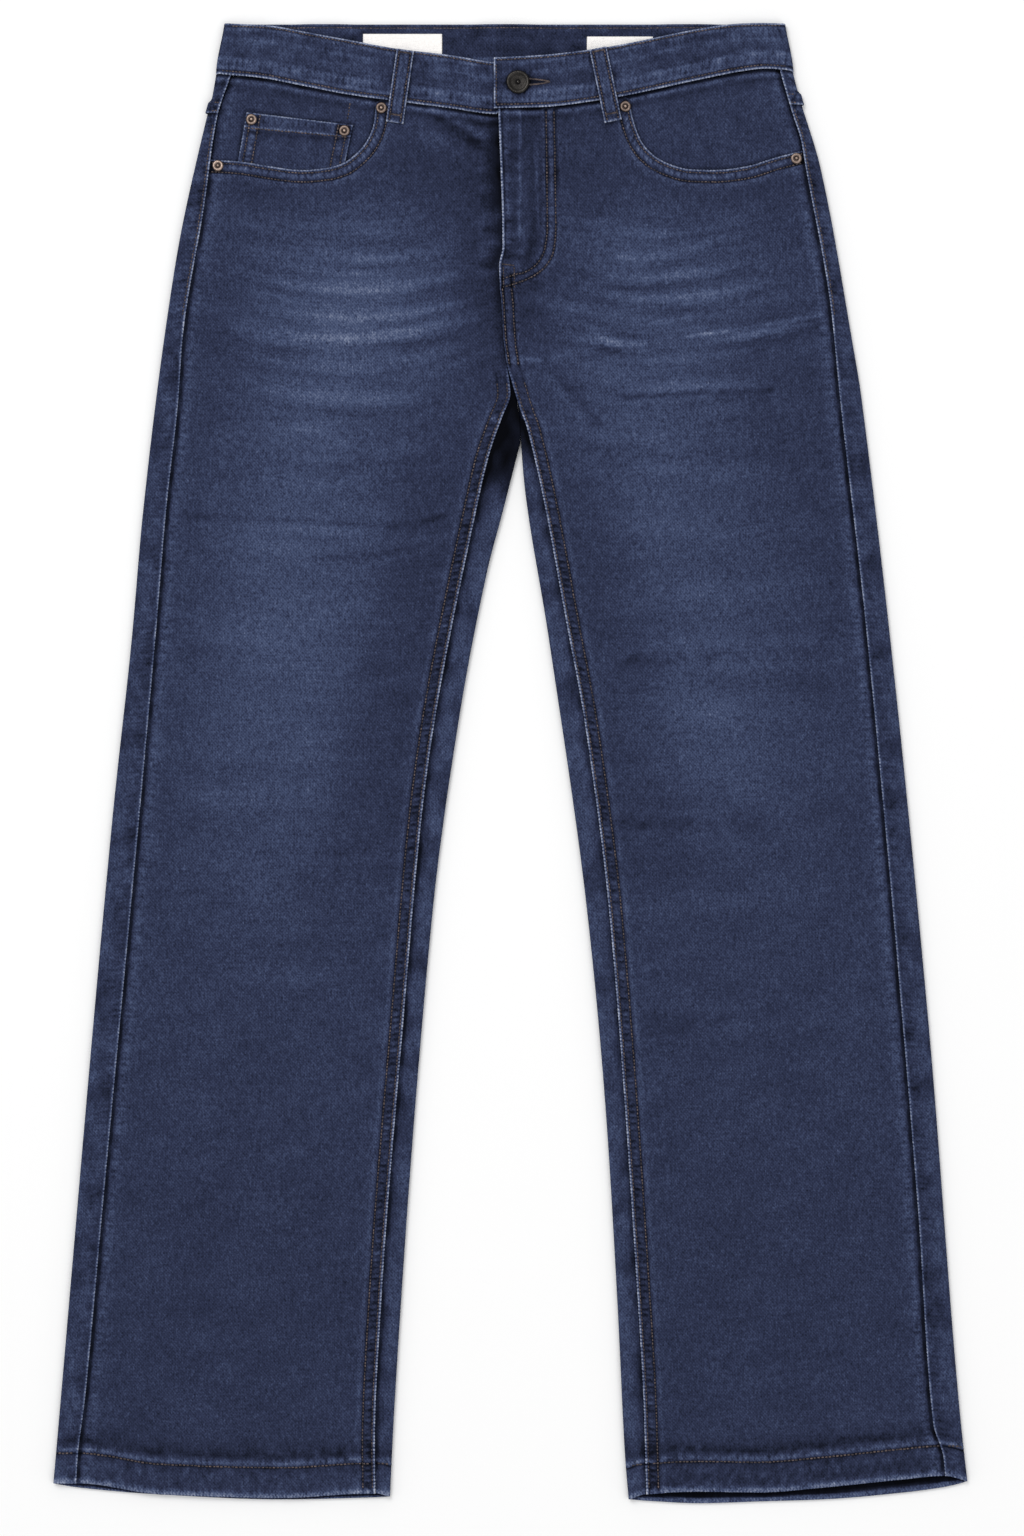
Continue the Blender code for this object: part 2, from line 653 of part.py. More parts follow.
def make_waistband():
    rows = []
    for t in BAND_ROWS:
        row = []
        for x, top, seam, z in band_stations():
            y = mix(seam, top, t)
            lean = BAND_LEAN * ease((y - BACK_SEAM_Y) / 45) * ease((abs(x) - 120) / 80)
            row.append((x - math.copysign(lean, x), y, z))
        rows.append(row)
    sheet("waistband", [rows], BAND_WALL, "denim_band")


# Pockets

FACING_ROWS = (0.0, 0.2, 0.4, 0.6, 0.8, 1.0)


def facing_height(side, x, y):
    drop = LAP_STEP
    if side == "right":
        away = abs(x - LINE["right_side"](y))
        drop += (COIN_WALL + GAP) * ease(away / 12) * ease((480 - y) / 7)
    return top_height(side, x, y) - drop


def make_facing(side):
    """What shows inside a hip pocket's opening, running on under the front."""
    towards = TOWARDS[side]
    opening = path_points(OPENINGS[side], OPENING_COLUMNS + 1)
    first_x = LINE[f"{side}_side"](BACK_SEAM_Y)
    last_x = OPENINGS[side][-1][0] - FACING_REACH * towards
    rows = []
    for t in FACING_ROWS:
        row = []
        for i, (x, y) in enumerate(opening):
            share = i / OPENING_COLUMNS
            low_x = x - FACING_REACH * towards * ease((share - 0.45) / 0.3)
            low_y = y - FACING_REACH * ease((0.9 - share) / 0.4)
            top_x = mix(first_x, last_x, share)
            top_y = WAIST_SEAM[side](top_x) - 2 * GAP
            px, py = mix(low_x, top_x, t), mix(low_y, top_y, t)
            if i == 0:
                px = LINE[f"{side}_side"](py) - HALF_GAP * towards
            row.append((px, py, facing_height(side, px, py)))
        rows.append(row)
    sheet(f"pocket_facing_{side}", [rows], DENIM, "denim")


def make_coin_pocket():
    top_outer, top_inner, low_inner, low_outer = (np.array(corner) for corner in COIN_CORNERS)
    rows = []
    for t in (0.0, 0.2, 0.5, 0.8, 1.0):
        row = []
        for share in (0.0, 0.15, 0.4, 0.65, 0.85, 1.0):
            x, y = mix(mix(low_outer, low_inner, share), mix(top_outer, top_inner, share), t)
            row.append((x, y, facing_height("right", x, y) + GAP + COIN_WALL))
        rows.append(row)
    sheet("coin_pocket", [rows], COIN_WALL, "denim")


def make_back_pocket(side):
    half = BACK_POCKET["width"] / 2
    top = BACK_POCKET["top_y"]
    bottom = top - BACK_POCKET["height"]
    centre = BACK_POCKET_X[side]
    shape = ((-half, top), (half, top), (half - 5, bottom + BACK_POCKET["point"]), (4, bottom + 1),
             (0, bottom), (-4, bottom + 1), (-half + 5, bottom + BACK_POCKET["point"]))
    outline = [(centre + x, y) for x, y in shape]
    plate(f"back_pocket_{side}", outline, 0, PATCH_WALL, "denim")


# Trim

def make_front_loop(name, top, bottom):
    side = "left" if top[0] > 0 else "right"
    lean = np.array(top) - np.array(bottom)
    across = np.array((lean[1], -lean[0])) / np.hypot(*lean) * LOOP_WIDTH / 2
    rows = []
    for t in (0.0, 0.12, 0.3, 0.5, 0.7, 0.88, 1.0):
        x, y = mix(np.array(bottom), np.array(top), t)
        z = max(band_height(side, x), front_height(side, x, y)) + GAP + LOOP_WALL
        z += LOOP_BOW * math.sin(math.pi * t)
        rows.append([(x - across[0], y - across[1], z), (x, y, z + LOOP_CROWN),
                     (x + across[0], y + across[1], z)])
    sheet(name, [rows], LOOP_WALL, "denim")


def make_back_loop(name, x):
    low, high = BACK_LOOP_Y
    half = LOOP_WIDTH / 2
    box(name, (x - half, low, 0), (x + half, high, LOOP_WALL), "denim")


RIVET_PROFILE = ((0, 1.9), (0.9, 1.75), (1.3, 1.1), (2.0, 0.8), (2.9, 1.25), (3.7, 1.1),
                 (RIVET_RADIUS, 0.5), (RIVET_RADIUS, 0), (0, 0))
BUTTON_PROFILE = ((0, 1.9), (1.2, 1.8), (1.9, 1.3), (4.6, 1.3), (6.3, 2.0), (7.5, 2.3),
                  (BUTTON_RADIUS, 1.8), (BUTTON_RADIUS, 0.8), (7.2, 0), (0, 0))


def make_rivet(name, x, y):
    side = "left" if x > 0 else "right"
    if "coin" in name:
        z = facing_height(side, x, y) + GAP + COIN_WALL
    else:
        z = front_height(side, x, y)
    turned(name, RIVET_PROFILE, (x, y, z + GAP), "antique_copper", RIVET_STEPS)


def make_button():
    z = band_height("left", BUTTON_AT[0]) + GAP
    turned("button", BUTTON_PROFILE, (*BUTTON_AT, z), "gunmetal", BUTTON_STEPS)


def make_label(name, x_low, x_high, y_low, y_high):
    low = BAND_WALL + GAP
    box(name, (x_low, y_low, low), (x_high, y_high, low + LABEL_WALL), "label_cloth")


def make_zip():
    """The closed zip and its slider, between the fly and the back."""
    rows = []
    for t in (0.0, 0.25, 0.5, 0.75, 1.0):
        y = mix(ZIP["bottom"], ZIP["top"], t)
        row = []
        for share in (0.0, 0.5, 1.0):
            x = LINE["centre_front"](y) + ZIP["from_edge"] + ZIP["width"] * share
            under_fly = front_height("left", x, y) - relief(x, y) - DENIM - GAP
            row.append((x, y, under_fly - SLIDER["wall"] - GAP))
        rows.append(row)
    sheet("fly_zip", [rows], ZIP["wall"], "zip_tape")
    x, y, z = rows[-1][1]
    half = SLIDER["width"] / 2
    high = y - SLIDER["below_top"]
    low = high - SLIDER["length"]
    outline = ((x - half + 1.5, low), (x + half - 1.5, low), (x + half, high), (x - half, high))
    plate("zip_slider", outline, z + GAP, SLIDER["wall"] - GAP, "antique_copper")


def main():
    for obj in list(bpy.data.objects):
        bpy.data.objects.remove(obj, do_unlink=True)
    bpy.context.scene.collection.children.link(bpy.data.collections.new(COLLECTION))
    for side in TOWARDS:
        make_front(side)
        make_back(side)
        make_yoke(side)
        make_facing(side)
        make_back_pocket(side)
    make_waistband()
    make_coin_pocket()
    for name, (top, bottom) in FRONT_LOOPS.items():
        make_front_loop(name, top, bottom)
    for name, x in BACK_LOOPS.items():
        make_back_loop(name, x)
    for name, (x, y) in RIVETS.items():
        make_rivet(name, x, y)
    make_button()
    for name, bounds in LABELS.items():
        make_label(name, *bounds)
    make_zip()


main()
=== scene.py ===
"""Straight leg five-pocket jeans, laid flat with the front up: cloth, sewing, trim and a plain stage.

The waist is towards +Y and the wearer's left side towards +X. Tables are in millimetres and
become metres where a mesh is made.
"""

import math

import bpy
import numpy as np
from bpy.props import FloatProperty, FloatVectorProperty, PointerProperty
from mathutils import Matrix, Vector
from mathutils.bvhtree import BVHTree


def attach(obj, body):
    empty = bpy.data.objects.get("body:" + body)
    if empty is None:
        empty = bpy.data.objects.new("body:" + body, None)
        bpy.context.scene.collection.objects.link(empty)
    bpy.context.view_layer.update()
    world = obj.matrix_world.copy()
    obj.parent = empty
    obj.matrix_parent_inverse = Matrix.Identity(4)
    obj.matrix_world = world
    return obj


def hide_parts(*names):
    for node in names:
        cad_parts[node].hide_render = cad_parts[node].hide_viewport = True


bl_info = {
    "name": "Straight leg jeans",
    "version": (1, 0, 0),
    "blender": (4, 5, 0),
    "location": "View3D > Sidebar > Jeans",
    "description": "Makes the cloth, sewing and trim of a pair of jeans that is laid flat",
    "category": "Add Mesh",
}

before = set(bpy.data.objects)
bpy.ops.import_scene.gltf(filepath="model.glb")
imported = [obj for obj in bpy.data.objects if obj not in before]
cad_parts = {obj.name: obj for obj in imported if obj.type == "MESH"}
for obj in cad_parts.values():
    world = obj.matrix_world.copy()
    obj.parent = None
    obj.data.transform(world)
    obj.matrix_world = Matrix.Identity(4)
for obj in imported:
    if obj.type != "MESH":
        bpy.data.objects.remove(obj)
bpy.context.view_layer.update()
MM = 0.001

# Cloth and seams, as in the solids
DENIM = 1.2
GAP = 0.3
HALF_GAP = GAP / 2
COIN_WALL = 1.0
PATCH_WALL = 1.2
LOOP_WALL = 1.3
HEM_WALL = 2.2
BAND_WALL = 2.2
HEM_TOP = -508.0
HEM_MIDDLE = -525.0
HEM_BLEND = -455.0
INSEAM_STEP = 1.5
FLY_STEP = 1.5
FLY_WIDTH = 45.0
LAP_STEP = 1.6
TOWARDS = {"right": -1.0, "left": 1.0}

# Seams and folded edges from above, as (y, x) pairs
LINES = {
    "right_edge": (
        (-530, -330.5), (-40, -287), (90, -273), (180, -265), (360, -241.5), (465, -219), (480, -215),
        (497, -212),
    ),
    "left_edge": (
        (-530, 330.5), (-460, 323), (-180, 300.5), (262, 253), (305, 246), (430, 223), (480, 208),
        (497, 203.5),
    ),
    "right_side": (
        (-530, -313), (-500, -311.5), (-460, -306.5), (-320, -293.5), (90, -255.5), (180, -248),
        (262, -239), (305, -236), (400, -220.5), (465, -211), (497, -200.5),
    ),
    "left_side": (
        (-530, 313.5), (-500, 311.5), (-475, 304), (-320, 293), (90, 256.5), (262, 237), (330, 230),
        (430, 212), (450, 208.5), (465, 203.5), (497, 194),
    ),
    "right_inseam": (
        (-530, -97), (-490, -97.5), (-390, -93), (-180, -76.5), (-40, -64), (30, -54.5), (180, -25),
        (223, -15), (249, -6), (266, 0), (284.5, -2.2),
    ),
    "left_inseam": (
        (-530, 97.5), (-460, 95.5), (-390, 91.5), (-110, 71), (30, 53), (90, 42), (242, 11.5), (254, 7),
        (284.5, -2.2),
    ),
    "right_inner": (
        (-530, -87), (-460, -83.5), (-110, -56.5), (30, -37.5), (140, -16.5), (180, -6), (231, 7),
    ),
    "left_inner": (
        (-530, 85), (-500, 82.5), (-390, 77), (-250, 68.5), (-110, 55.5), (90, 27.5), (202, 9.8),
        (231, 7.4),
    ),
    "centre_front": ((284.5, -2.2), (305, -5), (330, -6.5), (358, -8.5), (372, -6), (470, -9)),
    "centre_back": ((231, 7.2), (305, 2), (497, -4)),
    "seat_wedge": ((231, 7.2), (246, 6.6), (284.5, -2.2)),
}
CROTCH_Y = 284.5
FORK_Y = 231.0
WEDGE_TOP = {"right": 279.0, "left": 248.0}
YOKE_AT_SIDE = {"right": 468.0, "left": 474.0}
YOKE_AT_CENTRE = 430.0

# Lower edge of each leg: x, y of the front layer, y of the back layer
HEMS = {
    "right": (
        (-330.5, -518.5, -519), (-311, -518.5, -522), (-252, -526.5, -527), (-165, -529, -530.5),
        (-97, -525.5, -529), (-87, -528, -528.5),
    ),
    "left": (
        (85, -530, -530.5), (97.5, -526, -531.5), (136, -524.5, -533.3), (179, -525, -532),
        (225, -521.5, -530.5), (279, -516, -526), (313.5, -513, -521.5), (330.5, -517, -517.5),
    ),
}
OPENINGS = {
    "right": (
        (-215.5, 434.5), (-194, 433), (-172.5, 429.5), (-150, 427), (-132.5, 428.5), (-120.5, 432),
        (-110.5, 439.5), (-103.5, 448), (-98.5, 460.5), (-97, 475.5),
    ),
    "left": (
        (210, 441), (190.5, 436), (169, 429.5), (146.5, 427), (129, 427.5), (114, 431.5), (102.5, 438),
        (94, 448), (88, 464.5), (85, 478.5),
    ),
}
FACING_REACH = 6.0
# Front of the waistband: x, y of its top, y of its seam
WAIST = {
    "right": (
        (-212, 532.6, 496.3), (-180, 531.2, 493.4), (-150, 526.6, 487.7), (-116, 520.6, 481.2),
        (-82, 514.3, 476.5), (-45, 509.9, 471.6), (-9.2, 504.2, 467.2), (-6.5, 504, 471.7),
        (24, 503.5, 472.6),
    ),
    "left": (
        (-12, 507.5, 471), (22, 509.3, 471.8), (65, 514.4, 477), (87, 518.5, 481.2), (139, 529.1, 492.7),
        (166, 532.3, 498), (184, 532.9, 500), (204, 532.6, 498.5),
    ),
}
BAND_ENDS = {"right": 24.0, "left": -12.0}
BACK_TOP_Y = 532.4
BACK_SEAM_Y = 495.6
BAND_EDGE_Z = 6.2
BAND_END_Z = {"right": 6.3, "left": 8.9}
BAND_LEVEL_TO = 150.0
BAND_RISE = {"right": 90.0, "left": 110.0}
BAND_LEAN = 6.5
BODY_HEIGHT = ((-533, 5.4), (-508, 5.2), (-492, 4.0), (-460, 3.4), (150, 3.4), (230, 4.4),
               (300, 5.6), (430, 6.2), (500, 6.2))
EDGE_HEIGHT = ((-533, 6.0), (-495, 5.4), (-400, 5.2), (250, 5.2), (350, 6.0), (500, 6.2))
EDGE_REACH = 50.0
FORK_BLEND = 60.0

# Folds and whiskers: x, y at the start, y half way, x, y at the end, half width, height
FOLDS = (
    (-150, 372, 362, -26, 373, 5, 0.6), (-178, 349, 340, -24, 356, 5, 0.8),
    (-192, 329, 319, -20, 335, 5, 0.9), (-206, 313, 304, -20, 322, 6, 1.1),
    (-184, 270, 262, -60, 262, 7, 0.7), (47, 369, 364, 158, 380, 5, 0.6),
    (58, 351, 350, 179, 363, 5, 0.8), (56, 339, 333, 192, 347, 5, 0.9), (53, 313, 300, 102, 297, 5, 1.1),
    (128, 306, 309, 226, 321, 5, 1.2), (80, 263, 268, 190, 269, 7, 0.8), (92, 82, 78, 255, 84, 11, 0.8),
    (78, -50, -46, 165, -50, 11, 0.6), (128, -186, -183, 205, -187, 11, 0.5),
    (-186, 176, 168, -30, 166, 11, 0.5),
)
# Finer creases between them, told in the same way
CREASES = (
    (-196, 392, 386, -128, 389, 3.5, 0.35), (-120, 384, 381, -40, 392, 3.5, 0.4),
    (-168, 361, 353, -70, 356, 3.2, 0.45), (-190, 338, 331, -96, 327, 3.2, 0.45),
    (-120, 318, 312, -34, 326, 3.2, 0.4), (-205, 322, 316, -150, 311, 3, 0.4),
    (-196, 292, 286, -96, 283, 4, 0.45), (-110, 298, 291, -38, 303, 3.5, 0.4),
    (-200, 248, 241, -122, 243, 5, 0.4), (-130, 232, 226, -52, 229, 5, 0.35),
    (-178, 205, 199, -88, 201, 6, 0.35), (-120, 186, 180, -40, 185, 4, 0.3),
    (-208, 160, 153, -120, 150, 7, 0.35), (-230, 96, 90, -150, 88, 8, 0.3),
    (-236, -20, -26, -170, -22, 9, 0.3), (-200, -150, -154, -120, -150, 9, 0.25),
    (30, 392, 389, 96, 398, 3.5, 0.35), (70, 384, 381, 168, 392, 3.5, 0.35),
    (40, 361, 357, 120, 362, 3.2, 0.4), (96, 346, 342, 182, 352, 3.2, 0.4),
    (38, 329, 325, 96, 327, 3.2, 0.45), (60, 322, 316, 140, 325, 3, 0.4),
    (150, 329, 333, 214, 340, 3, 0.4), (90, 290, 292, 170, 296, 4, 0.4),
    (40, 281, 277, 104, 281, 4, 0.35), (120, 252, 256, 208, 253, 5, 0.35),
    (48, 238, 233, 120, 236, 5, 0.35), (96, 214, 208, 190, 213, 6, 0.35),
    (60, 176, 170, 150, 173, 7, 0.3), (110, 128, 123, 220, 131, 9, 0.35), (86, 40, 36, 180, 43, 9, 0.3),
    (96, -104, -100, 190, -106, 9, 0.3),
)
# Hollows in the backs, where the cloth stands off the floor
BACK_CREASES = (
    (-272, 54, 46, -150, 50, 9, 0.5), (-210, 22, 30, -84, 26, 8, 0.45),
    (-262, -12, -20, -170, -16, 9, 0.4), (-236, 232, 222, -120, 228, 7, 0.45),
    (-150, 206, 214, -30, 210, 7, 0.4), (-240, 180, 172, -160, 174, 8, 0.35),
    (-296, -262, -270, -190, -264, 10, 0.35), (-220, -360, -352, -120, -358, 9, 0.3),
    (88, 48, 56, 206, 50, 9, 0.5), (150, 16, 8, 268, 14, 8, 0.45), (96, -20, -12, 190, -16, 9, 0.4),
    (34, 226, 218, 150, 224, 7, 0.45), (120, 200, 208, 236, 202, 7, 0.4),
    (150, 168, 160, 238, 166, 8, 0.35), (120, -236, -228, 240, -238, 10, 0.35),
    (150, -336, -344, 270, -338, 9, 0.3),
)
# Washed out cloth down each thigh: y, x of its middle, half width, how much paler
FADES = {
    "right": (
        (415, -118, 60, 0.05), (365, -116, 66, 0.3), (333, -114, 70, 0.5), (308, -116, 70, 0.5),
        (276, -124, 64, 0.34), (240, -142, 66, 0.3), (204, -148, 68, 0.29), (100, -160, 68, 0.34),
        (45, -168, 66, 0.3), (-26, -174, 60, 0.22), (-98, -182, 56, 0.1), (-180, -186, 54, 0),
    ),
    "left": (
        (415, 112, 60, 0.04), (365, 112, 70, 0.2), (333, 114, 76, 0.27), (305, 110, 76, 0.28),
        (276, 100, 66, 0.27), (240, 100, 62, 0.28), (204, 108, 64, 0.25), (100, 142, 68, 0.24),
        (45, 142, 72, 0.28), (-10, 150, 68, 0.22), (-55, 154, 64, 0.07), (-180, 156, 60, 0),
    ),
}

WHISKER_MIDDLE = {"right": -115.0, "left": 100.0}
WHISKER_BOW = 0.00178

# Where painted shade darkens the inner strip of each back towards the crotch: from y, over this height
CROTCH_SHADE = {"right": (172.0, 62.0), "left": (210.0, 30.0)}

# Rubbed lines and lines of painted shade: x, y at both ends, half width, how much paler. The darker lines
# are painted shade in creases, on the shadow side of folds and beside the fly.
RUBBED_AND_SHADED = {
    "right": (
        (-15, 470, -16, 400, 6, -0.05), (-56, 471, -17, 450, 2.6, 0.36), (-52, 464, -18, 441, 4, -0.3),
        (-62, 456, -30, 436, 5, 0.14), (-12, 300, -40, 286, 4, 0.1), (-13.4, 247.5, -8, 245.7, 1.2, 0.6),
        (-206, 311, -132, 301.5, 1.5, -0.2), (-132, 301.5, -69, 301.5, 1.5, -0.15),
        (-236, 178, -154, 174.6, 2.6, -0.2), (-149, 174.4, -82, 171, 2.6, -0.24),
        (-77, 171, -48, 178, 2.6, -0.2), (-200, 171, -110, 167, 3, 0.12),
        (-144, 148, -116, 148, 2.4, -0.16), (-104, 143, -54, 156, 3, 0.12),
        (-100, 149, -60, 158, 2.4, -0.12),
    ),
    "left": (
        (-3.5, 468, -2, 374, 1.6, 0.25), (6.8, 469, 6.4, 376, 1, 0.36), (11, 440, 10, 372, 3, 0.14),
        (18.6, 446, 19.6, 386, 1.0, 0.36), (20, 398, 13, 366, 2.6, -0.2), (12, 362, 20, 346, 4, -0.15),
        (33, 440, 34, 400, 2, 0.14), (3, 291.5, 20, 290, 1.5, 0.4), (20, 290, 60, 299, 2.4, 0.18),
        (14, 336, 44, 328, 4, 0.12), (-2, 356, -2, 344, 2, 0.2), (52, 300.5, 75, 297.3, 1.2, -0.3),
        (77, 297.2, 101, 299.5, 1.1, -0.36), (50, 305.5, 98, 302, 2, 0.25),
        (130, 305.8, 154, 308.3, 1.1, -0.2), (157, 309, 223, 319.5, 1.4, -0.24),
        (128, 307.6, 156, 310.6, 1.0, 0.6), (159, 312, 223, 323, 1.8, 0.2),
        (82, 263.5, 138, 267, 2, -0.42), (142, 267, 186, 268.6, 2.2, -0.3), (84, 73, 150, 76.5, 6, -0.2),
        (160, 77.5, 232, 82, 6, -0.15), (80, -45, 132, -44, 6, -0.2), (143, -44, 178, -45, 5, -0.12),
        (104, -188, 150, -184, 7, -0.16), (163, -183, 196, -180, 6, -0.12), (35, 278, 62, 246, 4, -0.16),
        (28, 276, 52, 250, 3, 0.12), (104, -517, 296, -507, 7, -0.14),
    ),
}

# Small pieces
COIN_CORNERS = ((-190.2, 468.9), (-113.5, 459.6), (-120.5, 426), (-197.5, 427))
COIN_WIDTH = 76.0
COIN_HEIGHT = 38.0
RIVET_RADIUS = 4.1
RIVETS = {
    "rivet_hip_right_top": (-93.0, 471.6), "rivet_hip_right_side": (-210.6, 430.0),
    "rivet_coin_outer": (-186.6, 463.5), "rivet_coin_inner": (-119.7, 455.4),
    "rivet_hip_left_top": (82.6, 472.6), "rivet_hip_left_side": (205.6, 435.2),
}
RING_RUB = (0.5, 0.9, 0.66, 0.54, 0.5, 0.7)
NUB_RUB = (1.1, 0.6, 0.9, 1.0, 1.0, 0.7)
BUTTON_AT = (5.3, 489.6)
BUTTON_RADIUS = 8.35
LOOP_WIDTH = 12.5
FRONT_LOOPS = {
    "belt_loop_front_right": ((-75.7, 513.2), (-83.4, 460.7)),
    "belt_loop_front_left": ((62.7, 514.0), (73.7, 461.4)),
}
BACK_LOOPS = {
    "belt_loop_back_right": -135.0, "belt_loop_back_centre": -4.0, "belt_loop_back_left": 128.0,
}
BACK_LOOP_Y = (486.0, 532.0)
YOKE_RIDGE = 1.9
LOOP_SPREAD = (8.0, 26.0)
LOOP_LIFT = LOOP_WALL + GAP
LOOP_BOW = 0.7
LOOP_CROWN = 0.15
BACK_POCKET = {"width": 136.0, "height": 146.0, "point": 16.0, "top_y": 398.0}
BACK_POCKET_TAPER = 5.0
BACK_POCKET_X = {"right": -108.0, "left": 106.0}
POCKET_LIFT = PATCH_WALL + GAP
LABELS = {"label_right": (-106.3, -49.4, 505.0, 525.5), "label_left": (55.0, 102.5, 505.0, 523.6)}
LABEL_WALL = 0.5
ZIP = {"width": 20.0, "from_edge": 2.0, "bottom": 345.0, "top": 462.0, "wall": 1.0}
SLIDER_WALL = 1.5
# The slit of the buttonhole, and the stitching round it
SLIT = {"x": 19.0, "y": 489.9, "half": 9.0}
BUTTONHOLE = ((10, 492.2), (15, 491.9), (21, 491.3), (25.5, 490.6), (28.2, 489.9), (25.5, 489.2),
              (21, 488.5), (15, 487.9), (10, 487.6))

# Turned trim from its top down its outer side: radius, height, how rubbed
RIVET_PROFILE = (
    (0, 1.95, 1), (0.55, 1.9, 1), (0.9, 1.7, 0.75), (1.1, 1.3, 0.3), (1.3, 0.95, 0.1),
    (1.6, 0.8, 0.15), (1.9, 0.85, 0.3), (2.2, 1.1, 0.7), (2.6, 1.28, 0.95), (3.1, 1.27, 0.9),
    (3.5, 1.12, 0.7), (3.85, 0.85, 0.5), (4.0, 0.5, 0.2), (RIVET_RADIUS, 0.2, 0.1),
    (RIVET_RADIUS, 0.0, 0.1), (0, 0, 0.1))
BUTTON_PROFILE = (
    (0, 2.0, 1.0), (0.5, 1.97, 1.0), (0.8, 1.85, 0.7), (1.05, 1.6, 0.15), (1.4, 1.35, 0.0),
    (1.9, 1.25, 0.0), (2.2, 1.3, 0.4), (3.6, 1.33, 0.55), (4.8, 1.36, 0.5), (5.4, 1.42, 0.45),
    (5.9, 1.6, 0.4), (6.3, 1.8, 0.6), (6.8, 1.95, 0.85), (7.2, 2.0, 0.8), (7.6, 1.94, 0.5),
    (8.0, 1.8, 0.35), (8.25, 1.6, 0.25), (BUTTON_RADIUS, 1.4, 0.15), (8.3, 1.0, 0.1),
    (7.9, 0.6, 0.1), (7.0, 0.1, 0.1), (6.5, 0.0, 0.1), (0, 0, 0.1))

# Shares of the back's strip on top at which a line of points runs, and points round a fold
STRIP_SHARES = (0, 0.03, 0.06, 0.1, 0.15, 0.21, 0.29, 0.4, 0.55, 0.72, 0.87, 1)
ARC_STEPS = 12
ON_TOP = len(STRIP_SHARES) + ARC_STEPS // 2
FLOOR_COLUMNS = 36
# Distances from a seam at which a piece has a line of points
NEAR = (0, 0.35, 0.8, 1.3, 1.8, 2.3, 3.0, 4.0, 5.4, 7.0, 8.0, 8.7, 9.4, 10.4, 12.5, 15.5)
FLY_NEAR = NEAR[:-2] + (12.4, 13.6, 14.4, 15.5, 17, 20, 23.5, 26, 27.4, 29, 30.6, 31.6, 32.4, 33.2,
                        34.2, 36, 37.2, 38, 38.8, 40)
HEM_STEPS = (0, 0.4, 0.9, 1.6, 2.4, 3.3, 4.5, 6.5, 9, 12, 15, 18, 20, 21, 21.8, 22.6, 23.6, 24.8,
             26.2, 27.8, 29.6, 32, 35)
BAND_NEAR = (0, 0.35, 0.8, 1.3, 1.9, 2.5, 3.2, 4.2, 5.4, 7, 9, 11.5, 14)
LOOP_NEAR = (0, 0.4, 0.9, 1.5, 2.2, 2.9, 3.8, 5)
STRIP = NEAR[-1]
